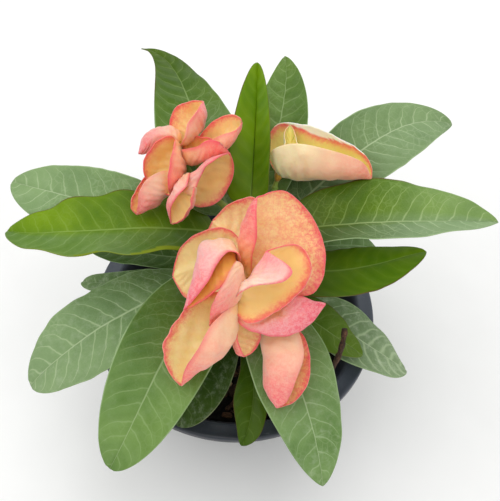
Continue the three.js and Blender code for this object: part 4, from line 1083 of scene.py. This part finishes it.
def make_pot(material):
    """A turned shell with a rolled rim, its corners rounded, and drain holes cut through the floor."""
    rings = [level_ring(radius, z, POT["sides"]) for radius, z in pot_profile()]
    piece = mesh_object("nursery_pot", *tube(rings), material)
    drills = Body()
    for k in range(POT["drain_holes"]):
        spot = 2 * math.pi * (k + 0.5) / POT["drain_holes"]
        centre = (POT["drain_circle"] * math.cos(spot), POT["drain_circle"] * math.sin(spot))
        drills.add(*tube(rings_along([(*centre, -4), (*centre, 8)], POT["drain_radius"], 32)))
    drill = drills.made("drain_cutter", material)
    cut = piece.modifiers.new("drain", "BOOLEAN")
    cut.object, cut.operation, cut.solver = drill, "DIFFERENCE", "EXACT"
    bpy.context.view_layer.objects.active = piece
    bpy.ops.object.modifier_apply(modifier=cut.name)
    bpy.data.objects.remove(drill)
    place(piece, "pot", "pot")


def soil_height(x, y):
    """Height of the potting mix at a place, a little uneven and piled up round the stem."""
    turn = 2 * math.pi / SOIL["ripple_length"]
    ripple = np.sin(turn * x) * np.cos(turn * y) + np.sin(turn * (x - y)) / 2
    mound = np.exp(-(np.hypot(x, y) / SOIL["mound_radius"])**2)
    return SOIL["top"] + SOIL["unevenness"] * ripple + SOIL["mound_height"] * mound


def chip(size, tilt, seed):
    """A broken piece of bark: a box with uneven corners and rough faces, about the origin."""
    cells = 4
    line = np.linspace(-1, 1, cells + 1)
    points, faces = [], []
    for axis in range(3):
        for side in (-1, 1):
            a, b = np.meshgrid(line, line, indexing="ij")
            face = np.roll(np.stack([np.full_like(a, side), a, b], -1), axis, axis=-1)
            index = len(points) * a.size + np.arange(a.size).reshape(a.shape)
            corners = [index[:-1, :-1], index[1:, :-1], index[1:, 1:], index[:-1, 1:]]
            quads = np.stack(corners, -1).reshape(-1, 4)[:, ::side]
            faces += quads.tolist()
            points.append(face.reshape(-1, 3))
    points = np.concatenate(points)
    round_off = 1.16 - 0.16 * (np.abs(points) > 0.9).sum(-1, keepdims=True)**0.8
    points = points * round_off * np.array(size) / 2
    rough = np.stack([roughness_field(points, 0.6 * max(size), 7 * seed + k) for k in range(3)], -1)
    points = points + SOIL["chip_roughness"] * min(size) * rough
    return points @ np.array(Euler(tilt).to_matrix()).T, faces


def soil_inside(z):
    """Radius of the mix at a height, just clear of the pot's wall."""
    return pot_radius(z) - POT["wall"] - SOIL["clearance"]


def add_ground(body, edge):
    """The mix itself, from the floor of the pot up to its uneven top, which starts at the height edge."""
    floor, sides = POT["floor"], SOIL["sides"]
    wall = [(soil_inside(floor) - 1.5, floor + 0.3), (soil_inside(8), 8), (soil_inside(edge), edge)]
    layers = [level_ring(radius, z, sides) for radius, z in wall]
    for share in np.linspace(1, 0.001, SOIL["rings"]):
        layer = level_ring((soil_inside(edge) - 0.3) * share, 0, sides)
        spot = layer[:, :2]
        bumps = SOIL["bumps"] * roughness_field(spot, 5, 5)
        bumps = bumps + SOIL["fine_bumps"] * roughness_field(spot, 2.4, 6)
        layer[:, 2] = soil_height(*spot.T) + bumps * min(1, (1 - share) * 20)
        layers.append(layer)
    body.add(*tube(layers), tone=0.0)


def add_chip(body, radius, turn, size, tilt, seed, tone, lift=0.0):
    """A piece of bark on the mix, at a distance and a heading from the middle."""
    x, y = radius * math.cos(turn), radius * math.sin(turn)
    points, faces = chip(size, tilt, seed)
    body.add(points + [x, y, soil_height(x, y) + lift], faces, tone=tone)


def make_soil(material):
    """The mix, the large bark chips of the solid model, and fine crumbs of bark between them."""
    edge = SOIL["top"] - SOIL["edge_drop"]
    body = Body("tone")
    add_ground(body, edge)
    draw = draw_from(SOIL["seed"])
    rng = np.random.default_rng(SOIL["seed"])
    for k in range(SOIL["chips"]):
        radius = (soil_inside(edge) - SOIL["chip_edge"]) * math.sqrt(next(draw))
        turn = math.radians(THORN["golden_angle"] * k)
        size = [lerp(a, b, next(draw)) for a, b in zip(SOIL["chip_least"], SOIL["chip_most"])]
        tilt = [SOIL["chip_tilt"] * (2 * next(draw) - 1) for _ in range(2)]
        tilt.append(math.pi * next(draw))
        add_chip(body, radius, turn, size, tilt, k, rng.uniform(0.1, 0.55))
    for k in range(SOIL["crumbs"]):
        radius = (soil_inside(edge) - SOIL["crumb_edge"]) * math.sqrt(rng.uniform(0.02, 1))
        turn = rng.uniform(0, 2 * math.pi)
        size = rng.uniform(*SOIL["crumb_size"]) * rng.uniform((0.8, 0.5, 0.3), (1.4, 0.9, 0.6))
        tilt = [*rng.uniform(-0.6, 0.6, 2), rng.uniform(0, math.pi)]
        tone = 0.95 if rng.uniform() > 1 - SOIL["pale_crumbs"] else rng.uniform(0.0, 0.6)
        add_chip(body, radius, turn, size, tilt, 100 + k, tone, lift=0.3 * size[2])
    place(body.made("potting_mix", material), "soil", "soil")


# -------------------------------------------------------------------- studio


def area_light(name, spot, size, power):
    """A round light that faces the middle of the plant."""
    data = bpy.data.lights.new(name, "AREA")
    data.shape, data.size, data.energy = "DISK", size, power
    light = bpy.data.objects.new(name, data)
    light.location = spot
    light.rotation_euler = (Vector(STUDIO["centre"]) - Vector(spot)).to_track_quat("-Z", "Y").to_euler()
    bpy.context.scene.collection.objects.link(light)


def make_camera():
    """Looks down at the plant from the front, turned a little about its own axis."""
    elevation, roll = math.radians(CAMERA["elevation"]), math.radians(CAMERA["roll"])
    forward = Vector((0, math.cos(elevation), -math.sin(elevation)))
    level = Vector((1, 0, 0))
    above = level.cross(forward)
    right = math.cos(roll) * level + math.sin(roll) * above
    up = math.cos(roll) * above - math.sin(roll) * level
    data = bpy.data.cameras.new("camera")
    data.lens, data.sensor_width, data.sensor_fit = CAMERA["lens"], CAMERA["sensor"], "HORIZONTAL"
    camera = bpy.data.objects.new("camera", data)
    turned = Matrix((right, up, -forward)).transposed().to_4x4()
    camera.matrix_world = Matrix.Translation(CAMERA["place"]) @ turned
    bpy.context.scene.collection.objects.link(camera)
    bpy.context.scene.camera = camera


def make_studio():
    """A pale floor, a white surround and three soft lights."""
    half = STUDIO["floor_half"]
    corners = [(-half, -half, 0), (half, -half, 0), (half, half, 0), (-half, half, 0)]
    mesh_object("floor", corners, [(0, 1, 2, 3)], floor_material())
    world = bpy.data.worlds.new("studio")
    world.use_nodes = True
    surround = world.node_tree.nodes["Background"]
    surround.inputs["Color"].default_value = (1, 1, 1, 1)
    surround.inputs["Strength"].default_value = STUDIO["surround"]
    bpy.context.scene.world = world
    for name, (spot, size, power) in STUDIO["lights"].items():
        area_light(name, spot, size, power)
    bpy.context.scene.view_settings.view_transform = "Standard"


# ---------------------------------------------------------------------- build

make_camera()
make_studio()
make_pot(pot_material())
make_soil(soil_material())
make_stem(bark_material("thorny_bark", "#8d8272", "#5c4d3e"))
make_twig(bark_material("twig_bark", "#6b4d38", "#2e211a", 1.6))
leaf_finish = leaf_material()
for number, (leaf_name, leaf) in enumerate(LEAVES.items(), 1):
    make_leaf(leaf_name, leaf, number, leaf_finish)
bract_finish = bract_material()
for number, (bloom_name, bloom) in enumerate(BLOOMS.items(), 1):
    make_bloom(bloom_name, bloom, number, bract_finish)
stalk_finish = stalk_material()
for side, trunk in STALK_TRUNKS.items():
    make_stalk(side, trunk, stalk_finish)
